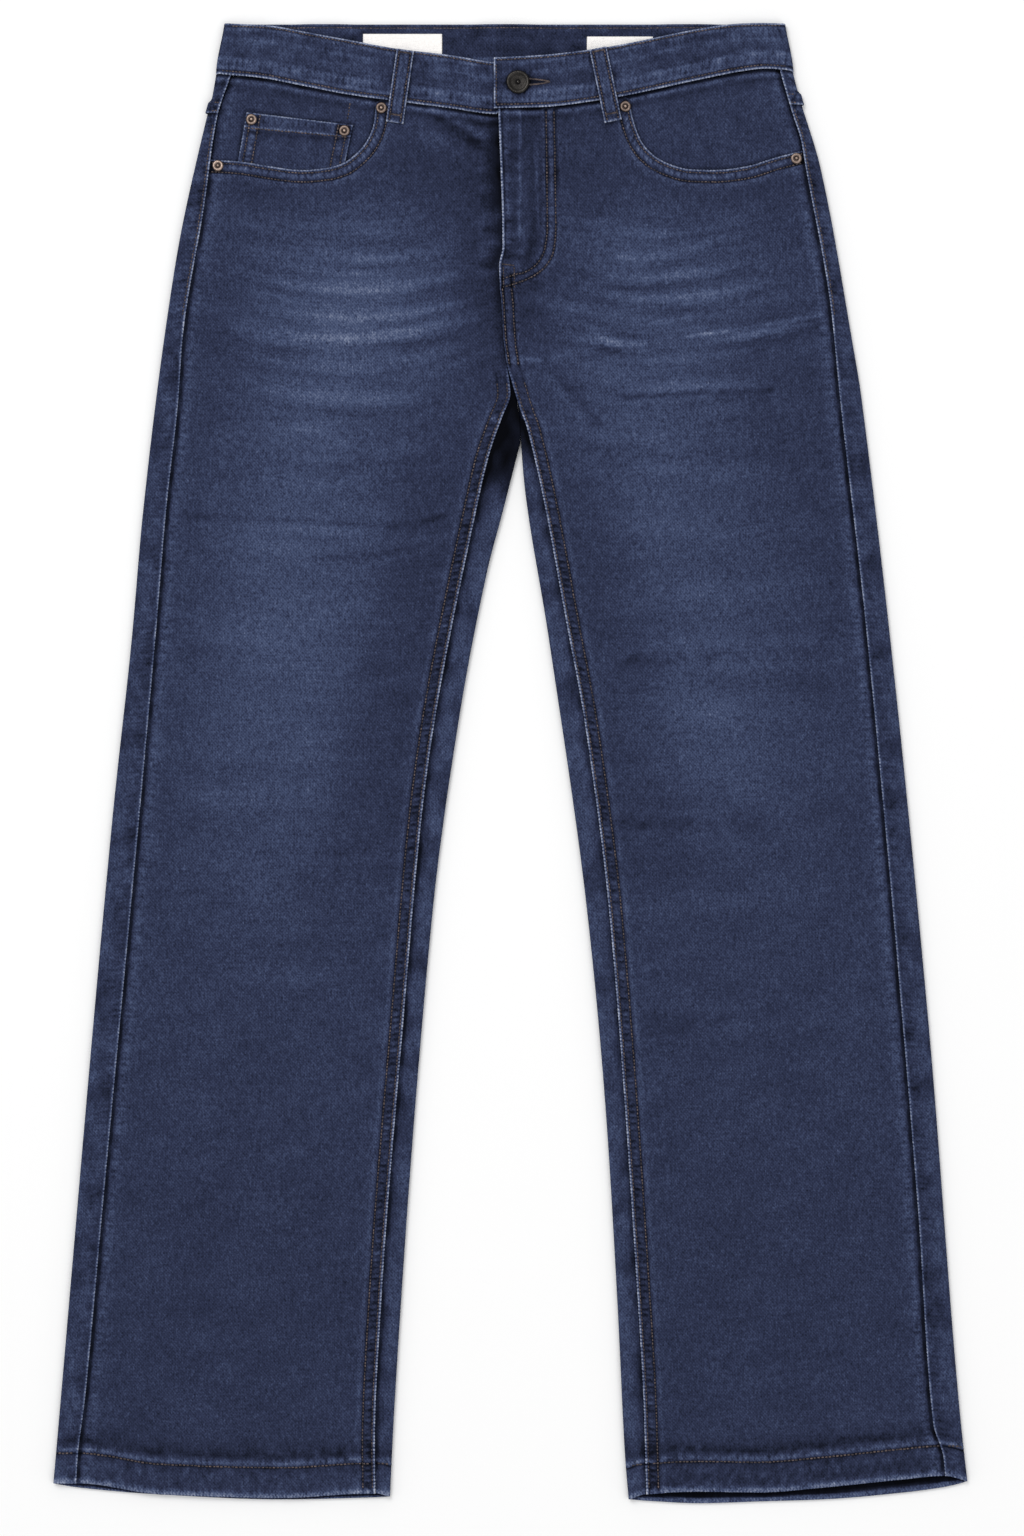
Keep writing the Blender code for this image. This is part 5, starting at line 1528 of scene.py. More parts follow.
def coin_cloth():
    """The coin pocket, as far as the hip pocket's edge."""
    top_outer, top_inner, low_inner, low_outer = (np.array(corner) for corner in COIN_CORNERS)
    share = close_to_edges(COIN_WIDTH, 14)
    near = np.array(NEAR) / COIN_HEIGHT
    t = np.concatenate([np.linspace(0, 1 - near[-1], 14)[:-1], 1 - near[::-1]])
    low = mix(low_outer, low_inner, share[:, None])
    high = mix(top_outer, top_inner, share[:, None])
    at = mix(low[None], high[None], t[:, None, None])
    x, y = at[..., 0], at[..., 1]
    z = facing_height("right", x, y) + GAP + COIN_WALL
    tone = 0.98 + 0.05 * ripple(x, y, 81, 12) + 0.04 * ripple(x, y, 82, 4)
    cloth = Cloth(x, y, z, tone)
    from_outer = np.broadcast_to(share * COIN_WIDTH, x.shape)
    cloth.sew("coin_side", from_outer, y, 83)
    cloth.sew("coin_side", COIN_WIDTH - from_outer, y, 84, share=0.8)
    cloth.sew("coin_top", np.broadcast_to(((1 - t) * COIN_HEIGHT)[:, None], x.shape), x, 85)
    # A darker square round each rivet, and painted shadow round the rivet itself.
    for name, darker in (("rivet_coin_outer", 0.15), ("rivet_coin_inner", 0.45)):
        rivet_x, rivet_y = RIVETS[name]
        from_rivet = np.maximum(np.abs(x - rivet_x), np.abs(y - rivet_y))
        cloth.darken(darker * ease(1 - (from_rivet - 5.2) / 1.6))
        cloth.shade(RIVETS[name], RIVET_RADIUS, 0.3)
    return cloth


def across_loop():
    """Distances of a belt loop's columns from its middle."""
    half, near = LOOP_WIDTH / 2, np.array(LOOP_NEAR)
    return np.concatenate([-half + near, [0], (half - near)[::-1]])


def loop_cloth(name):
    """A belt loop on the front of the waistband, folded under at both ends."""
    top, bottom = (np.array(end) for end in FRONT_LOOPS[name])
    side = "left" if top[0] > 0 else "right"
    lean = top - bottom
    length = np.hypot(*lean)
    along = lean / length
    sideways = np.array((along[1], -along[0]))
    offs = across_loop()
    t = np.concatenate([[0, 0.008, 0.02, 0.035], np.linspace(0.06, 0.94, 34), [0.965, 0.98, 0.992, 1]])
    centre = mix(bottom, top, t[:, None])
    at = centre[:, None] + offs[None, :, None] * sideways
    x, y = at[..., 0], at[..., 1]
    rest = np.maximum(band_height(side, centre[:, 0]), front_height(side, centre[:, 0], centre[:, 1]))
    z = (rest + GAP + LOOP_WALL + LOOP_BOW * np.sin(np.pi * t))[:, None] + LOOP_CROWN
    t = t[:, None]
    from_end = np.minimum(t, 1 - t) * length
    folds = 0.35 * plateau(t * length, 0.8, 5.5, 1.2) + 0.35 * plateau((1 - t) * length, 0.6, 4.5, 1.2)
    z = z + folds - 0.5 * ease(1 - from_end / 0.8)
    x, y, z, t = np.broadcast_arrays(x, y, z, t)
    tone = 0.97 + 0.08 * ripple(x, y, 91, 5) + 0.08 * np.sin(np.pi * t)
    cloth = Cloth(x, y, z, tone)
    from_side = LOOP_WIDTH / 2 - np.abs(np.broadcast_to(offs, x.shape))
    cloth.sew("loop_side", from_side, t * length, 92)
    cloth.sew("plain_edge", from_end + np.zeros(x.shape), x, 93, share=1.6, raised=False)
    # Painted shade where the loop steps down beside its folded lower end.
    cloth.darken(0.25 * plateau(t * length, 5.5, 6.4, 1.0))
    return cloth


def back_loop_cloth(name):
    """A belt loop on the back, which lies flat on the floor. Its rows run down, so that it is seen
    from under."""
    centre = BACK_LOOPS[name]
    low, high = BACK_LOOP_Y
    rows = np.concatenate([[0, 0.4, 1, 2], np.linspace(4, high - low - 4, 20),
                           [high - low - 2, high - low - 1, high - low - 0.4, high - low]])
    x, y = (places[::-1] for places in np.meshgrid(centre + across_loop(), low + rows))
    from_side = LOOP_WIDTH / 2 - np.abs(x - centre)
    from_end = np.minimum(y - low, high - y)
    z = 0.25 * ease(1 - from_side / 0.8) + 0.25 * ease(1 - from_end / 0.8)
    cloth = Cloth(x, y, z, 1.03 + 0.05 * ripple(x, y, 95, 6))
    cloth.sew("loop_side", from_side, y, 96, raised=False)
    cloth.sew("plain_edge", from_end, x, 97, raised=False)
    return cloth


def back_pocket_line(side, inset=0.0):
    """The back pocket's sides and point, this far inside its edge."""
    half = BACK_POCKET["width"] / 2 - inset
    top = BACK_POCKET["top_y"] - inset
    bottom = BACK_POCKET["top_y"] - BACK_POCKET["height"] + inset
    low, shoulder = half - BACK_POCKET_TAPER, bottom + BACK_POCKET["point"]
    shape = ((-half, top), (-low, shoulder), (0, bottom), (low, shoulder), (half, top))
    return [(BACK_POCKET_X[side] + x, y) for x, y in shape]


def back_pocket_cloth(side):
    """A patch pocket on the seat: rows from its point to its hemmed top, edges worn."""
    half = BACK_POCKET["width"] / 2
    top, centre = BACK_POCKET["top_y"], BACK_POCKET_X[side]
    bottom = top - BACK_POCKET["height"]
    point = BACK_POCKET["point"]
    near = np.array(NEAR)
    share = close_to_edges(2 * half, 24)
    tall = BACK_POCKET["height"] - point
    rise = np.concatenate([near, np.linspace(near[-1], tall - 16, 26)[1:], tall - near[::-1]]) / tall
    low = bottom + point * np.abs(share * 2 - 1)
    y = mix(low, top, rise[:, None])
    narrow = BACK_POCKET_TAPER * np.clip((bottom + point - y) / 1e3 + (top - y) / tall, 0, 1)
    x = centre + (share * 2 - 1) * (half - narrow)
    x, y = x[::-1], y[::-1]
    off, along = Path(back_pocket_line(side), smooth=False).away(x, y)
    worn = 0.2 * np.exp(-((x - centre) / 45) ** 2 - ((y - 320) / 60) ** 2)
    cloth = Cloth(x, y, 0.3 * ease(1 - off / 0.8), 1.03 + worn + 0.05 * ripple(x, y, 98, 12))
    cloth.sew("opening", off, along, 99, raised=False)
    cloth.sew("coin_top", top - y, x, 100, raised=False)
    return cloth


# Turned trim


def turned(context, name, profile, at, slot, steps, seed=0):
    """A turned piece from its profile, very slightly out of round."""
    points, faces, rubbed, rings = [], [], [], []
    angles = np.linspace(0, math.tau, steps, endpoint=False)
    for radius, height, share in profile:
        if radius == 0:
            rings.append([len(points)] * steps)
            points.append((0, 0, height))
            rubbed.append(share)
            continue
        rings.append(list(range(len(points), len(points) + steps)))
        wobble = radius * (1 + 0.012 * np.sin(angles * 3 + seed) * (radius > 3))
        points += [(r * math.cos(a), r * math.sin(a), height) for r, a in zip(wobble, angles)]
        rubbed += [share] * steps
    for upper, lower in zip(rings, rings[1:]):
        for i in range(steps):
            k = (i + 1) % steps
            face = list(dict.fromkeys((upper[i], lower[i], lower[k], upper[k])))
            if len(face) > 2:
                faces.append(face)
    points = (np.array(points) + np.array(at)) * MM
    mesh = mesh_of(name, points.tolist(), faces, {"tone": rubbed})
    add_object(f"{name}_turned", mesh, slot, context, name)


# Sewing


def surface_at(piece, x, y, under):
    """Height and upright of a piece's surface at a place, from above or from below."""
    start = Vector((x * MM, y * MM, -0.05 if under else 0.05))
    hit, normal, _, _ = SURFACES[piece].ray_cast(start, Vector((0, 0, 1 if under else -1)))
    if hit is None:
        return None, None
    if (normal.z > 0) == under:
        normal = -normal
    return hit, normal


class Thread:
    """Stitches gathered into one mesh."""

    SIDES = 5
    STEP = 0.002  # no stitch joins places that are further apart in height, in metres

    def __init__(self, name, wide):
        self.name, self.wide = name, wide
        self.points, self.faces = [], []

    def stitch(self, start, end, upright, wide, high):
        """One stitch: a small rounded body lying on the cloth."""
        way = end - start
        length = way.length
        if length < 1e-6:
            return
        way /= length
        aside = way.cross(upright).normalized()
        upright = aside.cross(way).normalized()
        first = len(self.points)
        self.points.append(start - upright * high * 0.3)
        for share in (0.22, 0.78):
            centre = start + way * length * share
            for i in range(self.SIDES):
                turn = math.tau * (i + 0.25) / self.SIDES
                self.points.append(centre + aside * math.cos(turn) * wide / 2
                                   + upright * (math.sin(turn) * high / 2 + high * 0.1))
        self.points.append(end - upright * high * 0.3)
        last = len(self.points) - 1
        for i in range(self.SIDES):
            a, b = first + 1 + i, first + 1 + (i + 1) % self.SIDES
            c, d = b + self.SIDES, a + self.SIDES
            self.faces += [(first, b, a), (a, b, c, d), (d, c, last)]

    def between(self, piece, start, end, wide, high, lift, under=False):
        """A stitch between two places on a piece, unless its surface ends or steps between them."""
        one, upright = surface_at(piece, *start, under)
        two, _ = surface_at(piece, *end, under)
        if one is None or two is None or abs(one.z - two.z) > self.STEP:
            return
        raised = Vector((0, 0, -lift if under else lift)) * MM
        self.stitch(one + raised, two + raised, upright, wide * MM, high * MM)

    def row(self, piece, line, pitch=STITCH_PITCH, bold=1.0, under=False, lift=0.05):
        """Stitches along a line on a piece, each a little uneven."""
        path = line if isinstance(line, Path) else Path(line)
        margin = 0.5
        count = int((path.length - margin * 2) / pitch)
        chance = np.random.default_rng(count + len(self.points) % 97)
        for i in range(count):
            at = margin + i * pitch + chance.uniform(-0.12, 0.12)
            ends = path.at(np.array([at, at + pitch * 0.9])) + chance.uniform(-0.12, 0.12)
            self.between(piece, *ends, self.wide * bold, STITCH_HIGH, lift, under)

    def tack(self, piece, start, end, width, under=False):
        """A bar tack: close stitches across a short line, leaning this way and that."""
        start, end = np.array(start, float), np.array(end, float)
        length = np.hypot(*(end - start))
        way = (end - start) / length
        aside = np.array((-way[1], way[0])) * width / 2
        for i in range(max(2, int(length / TACK_PITCH))):
            centre = start + way * (i + 0.5) * TACK_PITCH
            lean = way * TACK_PITCH * 0.3 * (1 if i % 2 else -1)
            self.between(piece, centre - aside - lean, centre + aside + lean, TACK_PITCH * 1.1,
                         CLOSE_HIGH, 0.1, under)

    def edge(self, piece, line, width):
        """Close stitches across a line, as round a buttonhole."""
        path = Path(line)
        for i in range(int(path.length / HOLE_PITCH)):
            a, b = path.at(np.array([i * HOLE_PITCH, i * HOLE_PITCH + 0.2]))
            way = (b - a) / max(np.hypot(*(b - a)), 1e-6)
            aside = np.array((-way[1], way[0])) * width / 2
            self.between(piece, a - aside, a + aside, HOLE_PITCH * 1.1, CLOSE_HIGH, 0.15)

    def finish(self, context):
        add_object(self.name, mesh_of(self.name, self.points, self.faces), "thread", context)


def inseam_row(side, off):
    ys = np.arange(-522, CROTCH_Y - 3, 6.0)
    return through(inner_line(side, ys) + (off + HALF_GAP) * TOWARDS[side], ys)


def hem_row(side, table):
    """The row above a leg's lower edge, between its seams."""
    outer, inner = LINE[f"{side}_side"](HEM_MIDDLE), LINE[f"{side}_inseam"](HEM_MIDDLE)
    xs = np.linspace(outer, inner, 60)[1:-1]
    return through(xs, table[side](xs) + HEM_ROW)


def sew_fronts(thread):
    for side, towards in TOWARDS.items():
        name = f"front_{side}"
        for off in FELL_ROWS:
            thread.row(name, inseam_row(side, off))
        opening = Path(OPENINGS[side])
        for off in OPENING_ROWS:
            thread.row(name, Path(opening.beside(-towards * off), smooth=False))
        thread.row(name, hem_row(side, HEM_FRONT), HEM_PITCH, HEM_BOLD)
        for start, end, near in (("edge", "side", -1), ("inseam", "inner", 0)):
            xs = np.linspace(LINE[f"{side}_{start}"](-500), LINE[f"{side}_{end}"](-500), 12)[1:-1]
            ys = mix(HEM_FRONT[side](xs[near]), HEM_FRONT[side](xs), 0.35) + HEM_ROW
            thread.row(f"back_{side}", through(xs, ys), HEM_PITCH, HEM_BOLD)
    ys = np.arange(CROTCH_Y + 2, 346, 4.0)
    for off in FLY_ROWS:
        thread.row("front_left", through(inner_line("left", ys) + off, ys))
    for line in JAY_ROWS:
        thread.row("front_left", line)
    thread.tack("front_left", (-6.4, 359.1), (3.0, 358.1), 1.1)
    for line in (((2.7, 357.5), (2.7, 341)), ((-5.2, 357.5), (-5.0, 341))):
        thread.row("front_left", line, pitch=1.9)
    thread.row("pocket_facing_right", ((-115.5, 476.1), (-117.9, 461.7)))
    top_outer, top_inner, low_inner, low_outer = (np.array(corner) for corner in COIN_CORNERS)
    for inset in COIN_ROWS:
        for share in (inset / COIN_WIDTH, 1 - inset / COIN_WIDTH):
            line = (mix(top_outer, top_inner, share), mix(low_outer, low_inner, share))
            thread.row("coin_pocket", line)
    down = COIN_TOP_ROW / COIN_HEIGHT
    thread.row("coin_pocket", (mix(top_outer, low_outer, down), mix(top_inner, low_inner, down)))


def sew_sides(thread):
    """Top stitching on the backs' front strips, from the waistband to below the pockets."""
    for side, towards in TOWARDS.items():
        ys = np.arange(322, YOKE_AT_SIDE[side] - 1, 5.0)
        thread.row(f"back_{side}", through(LINE[f"{side}_side"](ys) + SIDE_ROW * towards, ys))
        for up in YOKE_END_ROWS:
            y = YOKE_AT_SIDE[side] + up
            seam, edge = LINE[f"{side}_side"](y), LINE[f"{side}_edge"](y)
            line = ((seam + 0.8 * towards, y), (edge - 1.5 * towards, y))
            thread.row(f"yoke_{side}", line, pitch=2.1)


def sew_band(thread):
    for side, start, end in (("right", -13.0, -210), ("left", -10.5, 203)):
        xs = np.arange(start, end, 4.0 * TOWARDS[side])
        for table, off in ((WAIST_TOP, -BAND_TOP_ROW), (WAIST_SEAM, BAND_ROW)):
            ys = table[side](xs) + off
            thread.row("waistband", through(leaned(xs, ys), ys))
    thread.row("waistband", through(-10.4, np.arange(473.5, 505.5, 3.0)))
    top, low = BACK_TOP_Y - BAND_ROW, BACK_SEAM_Y + BAND_ROW
    for y, lift in ((top, -BAND_WALL), (top, 0.05), (low, 0.05)):
        line = Path(((-203, y), (198, y)), smooth=False)
        thread.row("waistband", line, under=True, lift=lift)
    thread.edge("waistband", BUTTONHOLE, 1.5)


def sew_loops(thread):
    for name, (top, bottom) in FRONT_LOOPS.items():
        top, bottom = np.array(top), np.array(bottom)
        along = (top - bottom) / np.hypot(*(top - bottom))
        aside = np.array((along[1], -along[0]))
        for off in LOOP_ROWS:
            thread.row(name, (bottom + aside * off + along * 0.5, top + aside * off - along * 0.5))
        for at in (bottom + along * 5.6, top - along * 2.2):
            thread.tack(name, at - aside * LOOP_TACK_HALF, at + aside * LOOP_TACK_HALF, LOOP_TACK_WIDE)
    low, high = BACK_LOOP_Y
    for name, x in BACK_LOOPS.items():
        for off in LOOP_ROWS:
            thread.row(name, ((x + off, low + 1), (x + off, high - 1)), under=True)
        for y in (low + 4, high - 3):
            ends = ((x - LOOP_TACK_HALF, y), (x + LOOP_TACK_HALF, y))
            thread.tack(name, *ends, LOOP_TACK_WIDE, under=True)


def sew_backs(thread):
    for side, towards in TOWARDS.items():
        thread.row(f"back_{side}", hem_row(side, HEM_BACK), HEM_PITCH, HEM_BOLD, under=True)
        pocket, x, top = f"back_pocket_{side}", BACK_POCKET_X[side], BACK_POCKET["top_y"]
        for inset in PATCH_ROWS:
            thread.row(pocket, Path(back_pocket_line(side, inset), smooth=False), under=True)
        thread.row(pocket, ((x - 65, top - 14), (x + 65, top - 14)), under=True)
        for near in (-63, 63):
            ends = ((x + near - 3.5, top - 2.5), (x + near + 3.5, top - 2.5))
            thread.tack(pocket, *ends, LOOP_TACK_WIDE, under=True)
        edge, centre = LINE[f"{side}_edge"](460), LINE["centre_back"](440)
        xs = np.linspace(edge - 6 * towards, centre + 1.5 * towards, 60)
        for up in YOKE_ROWS:
            thread.row(f"yoke_{side}", through(xs, yoke_y(side, xs, 462.0, False) + up), under=True)
    ys = np.arange(FORK_Y + 8, 492, 5.0)
    for off in FELL_ROWS:
        for piece in ("back_left", "yoke_left"):
            thread.row(piece, through(LINE["centre_back"](ys) + off, ys), under=True)


SEWING = {
    "stitching_fronts": sew_fronts, "stitching_sides": sew_sides, "stitching_waistband": sew_band,
    "stitching_loops": sew_loops, "stitching_backs": sew_backs,
}


# Zip


def zip_middle():
    """Middle of the zip's tape from its bottom to its top: x and y."""
    ys = np.linspace(ZIP["bottom"], ZIP["top"], 30)
    return LINE["centre_front"](ys) + ZIP["from_edge"] + ZIP["width"] / 2, ys


def zip_height(x, y):
    """Height of the tape, with room for the slider between it and the fly."""
    under_fly = front_height("left", x, y) - creased(x, y) - crumple(x, y) - DENIM - GAP
    return under_fly - SLIDER_WALL - GAP


def zip_teeth():
    """Points and faces of the teeth, small blocks on either side of the tape's middle in turn."""
    middle, ys = zip_middle()
    points, faces = [], []
    for i, y in enumerate(np.arange(ZIP["bottom"] + 3, ZIP["top"] - 18, 1.5)):
        x = float(np.interp(y, ys, middle)) + (0.8 if i % 2 else -0.8)
        z = float(zip_height(np.array(x), np.array(y)))
        first = len(points)
        for dz, grow in ((-0.2, 1.0), (0.35, 1.0), (0.5, 0.7)):
            for dx, dy in ((-1.6, -0.5), (1.6, -0.5), (1.6, 0.5), (-1.6, 0.5)):
                points.append(Vector((x + dx * grow, y + dy * grow, z + dz)) * MM)
        for ring in (first, first + 4):
            for k in range(4):
                a, b = ring + k, ring + (k + 1) % 4
                faces.append((a, b, b + 4, a + 4))
        faces += [tuple(range(first + 3, first - 1, -1)), tuple(range(first + 8, first + 12))]
    return points, faces


# Settings


def colour(name, description, *levels):
    """A colour setting, by default this one out of 255."""
    return FloatVectorProperty(name=name, description=description, subtype="COLOR",
                               default=srgb(*levels), min=0, max=1)


def distance(name, description, default, low, high):
    return FloatProperty(name=name, description=description, default=default, min=low, max=high,
                         subtype="DISTANCE", unit="LENGTH", precision=4)


class JeansColours(bpy.types.PropertyGroup):
    """The colours of the cloth, thread and trim."""

    indigo: colour("Indigo", "Plain cloth", 45.5, 52, 77)
    washed: colour("Washed", "Cloth that is washed out", 70, 81.5, 112)
    worn: colour("Worn", "Threads that are rubbed bare on edges", 158, 167, 190)
    thread_dark: colour("Thread in shade", "Darkest top stitching", 38, 31, 36)
    thread_pale: colour("Thread", "Palest top stitching", 114, 99, 96)
    copper: colour("Rivet", "Rubbed copper of the rivets", 172, 152, 140)
    copper_dark: colour("Rivet in hollows", "Patina of the rivets", 38, 30, 31)
    button: colour("Button", "Rubbed metal of the button", 60, 58, 56)
    button_dark: colour("Button in hollows", "Dark metal of the button", 19, 18, 19)
    label: colour("Label", "Bare label patches", 253, 250, 247)


class JeansSizes(bpy.types.PropertyGroup):
    """The sizes of the cloth and the sewing."""

    denim: distance("Denim", "Thickness of one layer", DENIM * MM, 0.0006, 0.0016)
    waistband: distance("Waistband", "Thickness of the waistband", BAND_WALL * MM, 0.001, 0.003)
    thread: distance("Thread", "Width of a top stitch", STITCH_WIDE * MM, 0.0004, 0.0016)


class JeansStage(bpy.types.PropertyGroup):
    """The floor, light and camera."""

    floor: FloatVectorProperty(name="Floor", description="Colour of the floor", subtype="COLOR",
                               default=(0.93, 0.93, 0.93), min=0, max=1)
    key: FloatProperty(name="Key light", description="Power of the large soft light, in watts",
                       default=104.0, min=0.0)
    sky: FloatProperty(name="Sky", description="Strength of the even light", default=0.63, min=0.0)
    lens: FloatProperty(name="Lens", description="Focal length in millimetres", default=85.0,
                        min=20.0, max=200.0)
    height: distance("Camera height", "Camera's height over the floor", 2.616, 0.1, 10.0)


# Operators


class JEANS_OT_fronts(bpy.types.Operator):
    """Lay both front panels, with their folds, whiskers and worn seams"""

    bl_idname = "jeans.fronts"
    bl_label = "Front panels"

    def execute(self, context):
        for side in TOWARDS:
            lay_cloth(context, f"front_{side}", [front_cloth(side)], HEM_WALL,
                      hemmed=True)
        return {"FINISHED"}


class JEANS_OT_backs(bpy.types.Operator):
    """Lay both back panels, wrapped round the folded edges of each leg"""

    bl_idname = "jeans.backs"
    bl_label = "Back panels"

    def execute(self, context):
        for side in TOWARDS:
            lay_cloth(context, f"back_{side}", back_cloths(side), HEM_WALL,
                      hemmed=True)
        return {"FINISHED"}


class JEANS_OT_yokes(bpy.types.Operator):
    """Lay both yokes between the backs and the waistband"""

    bl_idname = "jeans.yokes"
    bl_label = "Yokes"

    def execute(self, context):
        for side, towards in TOWARDS.items():
            lay_cloth(context, f"yoke_{side}", [yoke_cloth(side)], denim_wall(context))
        return {"FINISHED"}


class JEANS_OT_waistband(bpy.types.Operator):
    """Lay the waistband round the waist, its left end on top"""

    bl_idname = "jeans.waistband"
    bl_label = "Waistband"

    def execute(self, context):
        wall = context.scene.jeans_sizes.waistband / MM
        lay_cloth(context, "waistband", [band_cloth()], wall, slot="denim_band")
        return {"FINISHED"}


class JEANS_OT_pockets(bpy.types.Operator):
    """Lay the hip pocket facings, the coin pocket and the back pockets"""

    bl_idname = "jeans.pockets"
    bl_label = "Pockets"

    def execute(self, context):
        for side in TOWARDS:
            lay_cloth(context, f"pocket_facing_{side}", [facing_cloth(side)], denim_wall(context))
            lay_cloth(context, f"back_pocket_{side}", [back_pocket_cloth(side)], PATCH_WALL,
                      under=True)
        lay_cloth(context, "coin_pocket", [coin_cloth()], COIN_WALL)
        return {"FINISHED"}


class JEANS_OT_loops(bpy.types.Operator):
    """Make the five belt loops"""

    bl_idname = "jeans.loops"
    bl_label = "Belt loops"

    def execute(self, context):
        for name in FRONT_LOOPS:
            lay_cloth(context, name, [loop_cloth(name)], LOOP_WALL)
        for name in BACK_LOOPS:
            lay_cloth(context, name, [back_loop_cloth(name)], LOOP_WALL, under=True)
        return {"FINISHED"}


class JEANS_OT_trim(bpy.types.Operator):
    """Set the rivets and the button"""

    bl_idname = "jeans.trim"
    bl_label = "Rivets and button"

    def execute(self, context):
        for seed, (name, (x, y)) in enumerate(RIVETS.items()):
            if "coin" in name:
                z = facing_height("right", x, y) + GAP + COIN_WALL
            else:
                z = front_height("left" if x > 0 else "right", x, y)
            rubbed = [(radius, height, share * (NUB_RUB if radius < 1.2 else RING_RUB)[seed])
                      for radius, height, share in RIVET_PROFILE]
            turned(context, name, rubbed, (x, y, float(z) + 0.15), "antique_copper", 40, seed)
        z = float(band_height("left", BUTTON_AT[0])) + GAP
        turned(context, "button", BUTTON_PROFILE, (*BUTTON_AT, z), "gunmetal", 64)
        return {"FINISHED"}


class JEANS_OT_labels(bpy.types.Operator):
    """Sew the bare label patches inside the back of the waistband"""

    bl_idname = "jeans.labels"
    bl_label = "Labels"

    def execute(self, context):
        for name, (x_low, x_high, y_low, y_high) in LABELS.items():
            x, y = np.meshgrid(np.linspace(x_low, x_high, 40), np.linspace(y_low, y_high, 16))
            edge = np.minimum(np.minimum(x - x_low, x_high - x), np.minimum(y - y_low, y_high - y))
            z = BAND_WALL + GAP + LABEL_WALL + 0.12 * ripple(x, y, 110, 14) * ease(edge / 2)
            z = z + 0.15 * plateau(y_high - y, 0.6, 2.2, 0.6)
            lay_cloth(context, name, [Cloth(x, y, z)], LABEL_WALL, slot="label_cloth")
        return {"FINISHED"}


class JEANS_OT_zip(bpy.types.Operator):
    """Lay the closed zip in the fly, with its teeth and slider"""

    bl_idname = "jeans.zip"
    bl_label = "Fly zip"

    def execute(self, context):
        middle, ys = zip_middle()
        x = middle[:, None] + np.linspace(-0.5, 0.5, 9) * ZIP["width"]
        y = np.broadcast_to(ys[:, None], x.shape)
        lay_cloth(context, "fly_zip", [Cloth(x, y, zip_height(x, y))], ZIP["wall"],
                  slot="zip_tape")
        points, faces = zip_teeth()
        teeth = mesh_of("zip_teeth", points, faces, {"tone": np.full(len(points), 0.6)}, smooth=False)
        add_object("zip_teeth", teeth, "antique_copper", context)
        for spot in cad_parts["zip_slider"].material_slots:
            spot.material = finish("antique_copper", context)
        return {"FINISHED"}


class JEANS_OT_sewing(bpy.types.Operator):
    """Sew the top stitching, bar tacks and buttonhole"""

    bl_idname = "jeans.sewing"
    bl_label = "Sewing"

    def execute(self, context):
        if not SURFACES:
            raise RuntimeError("The cloth has to be laid before it can be sewn")
        for name, sew in SEWING.items():
            thread = Thread(name, context.scene.jeans_sizes.thread / MM)
            sew(thread)
            thread.finish(context)
        return {"FINISHED"}


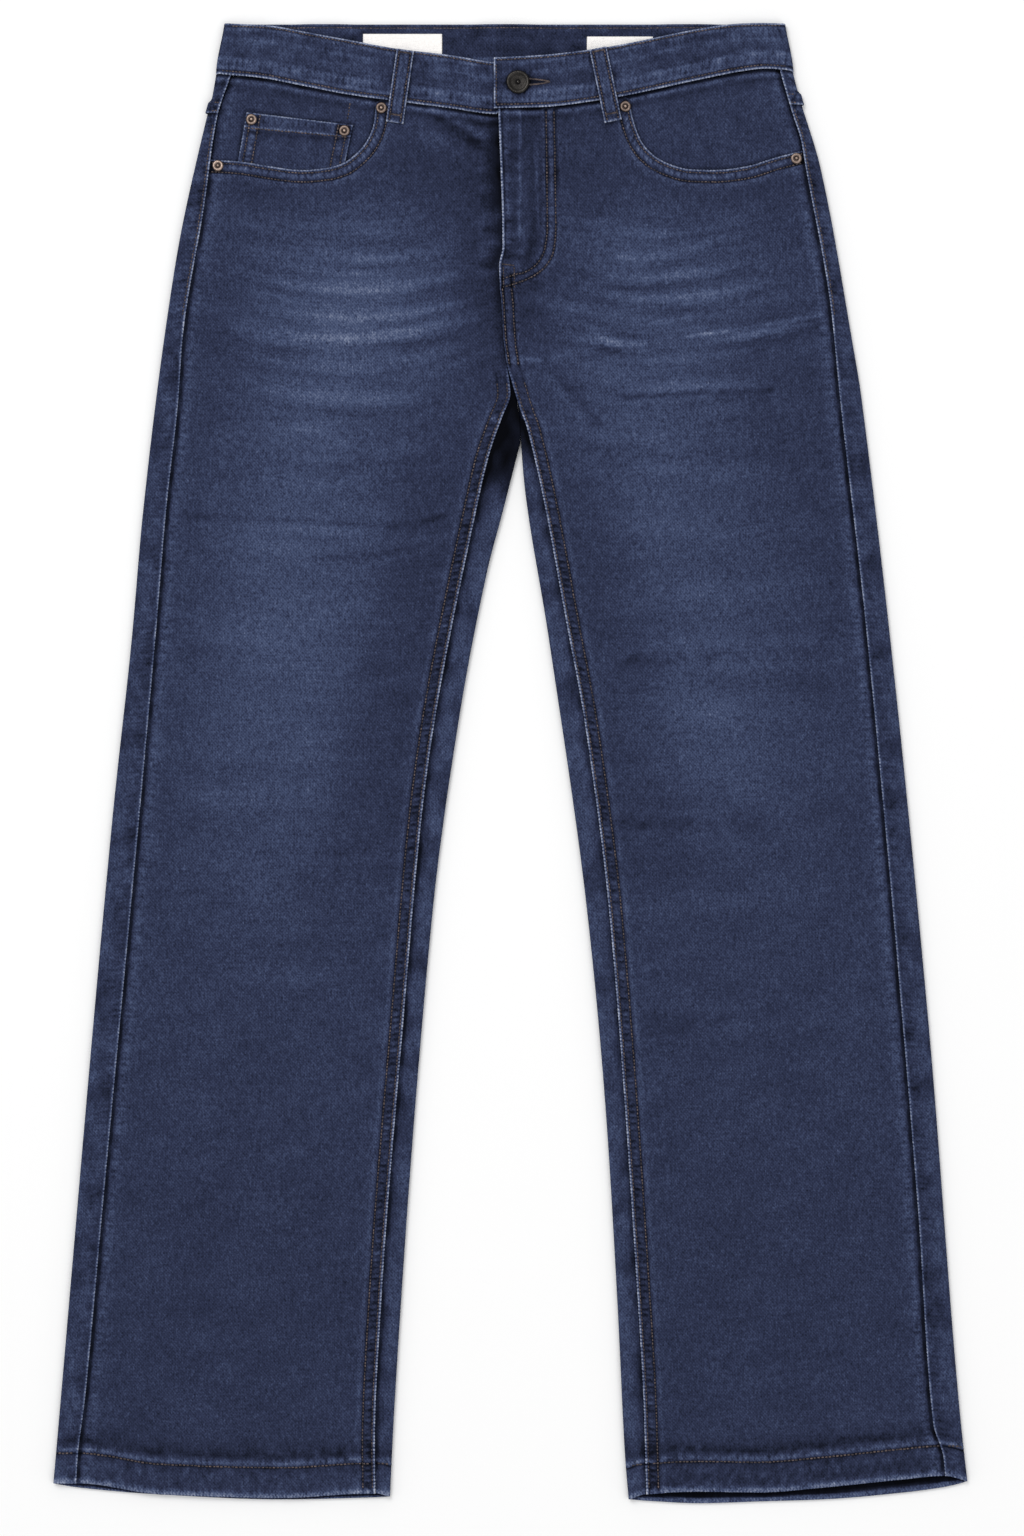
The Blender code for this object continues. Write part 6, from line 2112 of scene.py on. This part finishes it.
class JEANS_OT_stage(bpy.types.Operator):
    """Lay the floor, light it and aim the camera"""

    bl_idname = "jeans.stage"
    bl_label = "Stage"

    def execute(self, context):
        scene = context.scene
        stage = scene.jeans_stage
        far = FLOOR_REACH
        corners = [(x, y, FLOOR_Z) for x, y in ((-far, -far), (far, -far), (far, far), (-far, far))]
        floor = bpy.data.objects.new("floor", mesh_of("floor", corners, [(0, 1, 2, 3)], smooth=False))
        scene.collection.objects.link(floor)
        paint = Finish("floor_paint")
        paint.surface(Base_Color=tuple(stage.floor), Roughness=0.9)
        floor.data.materials.append(paint.material)

        world = bpy.data.worlds.new("studio")
        world.use_nodes = True
        sky = world.node_tree.nodes["Background"]
        sky.inputs["Color"].default_value = (1.0, 1.0, 1.0, 1.0)
        sky.inputs["Strength"].default_value = stage.sky
        scene.world = world
        for name, (at, share, size) in LIGHTS.items():
            light = bpy.data.lights.new(name, "AREA")
            light.energy = stage.key * share
            light.size = size
            lamp = bpy.data.objects.new(name, light)
            lamp.location = at
            lamp.rotation_euler = (-Vector(at)).to_track_quat("-Z", "Y").to_euler()
            scene.collection.objects.link(lamp)

        lens = bpy.data.cameras.new("camera")
        lens.lens = stage.lens
        lens.sensor_width = 36.0
        camera = bpy.data.objects.new("camera", lens)
        camera.location = (*CAMERA_AT, stage.height)
        scene.collection.objects.link(camera)
        scene.camera = camera
        scene.view_settings.view_transform = "Standard"
        return {"FINISHED"}


OPERATORS = (JEANS_OT_backs, JEANS_OT_yokes, JEANS_OT_pockets, JEANS_OT_fronts, JEANS_OT_waistband,
             JEANS_OT_loops, JEANS_OT_labels, JEANS_OT_zip, JEANS_OT_trim, JEANS_OT_sewing,
             JEANS_OT_stage)


class JEANS_PT_pieces(bpy.types.Panel):
    """The pieces of the jeans and what they are made with"""

    bl_label = "Straight leg jeans"
    bl_space_type = "VIEW_3D"
    bl_region_type = "UI"
    bl_category = "Jeans"

    def draw(self, context):
        column = self.layout.column(align=True)
        for operator in OPERATORS:
            column.operator(operator.bl_idname)
        for group in (context.scene.jeans_sizes, context.scene.jeans_colours, context.scene.jeans_stage):
            box = self.layout.box()
            for name in group.__annotations__:
                box.prop(group, name)


CLASSES = (JeansColours, JeansSizes, JeansStage, *OPERATORS, JEANS_PT_pieces)


def register():
    for kind in CLASSES:
        bpy.utils.register_class(kind)
    bpy.types.Scene.jeans_colours = PointerProperty(type=JeansColours)
    bpy.types.Scene.jeans_sizes = PointerProperty(type=JeansSizes)
    bpy.types.Scene.jeans_stage = PointerProperty(type=JeansStage)


def unregister():
    del bpy.types.Scene.jeans_stage, bpy.types.Scene.jeans_sizes, bpy.types.Scene.jeans_colours
    for kind in reversed(CLASSES):
        bpy.utils.unregister_class(kind)


def main():
    register()
    for operator in OPERATORS:
        group, name = operator.bl_idname.split(".")
        getattr(getattr(bpy.ops, group), name)()
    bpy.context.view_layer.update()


if __name__ == "__main__":
    main()
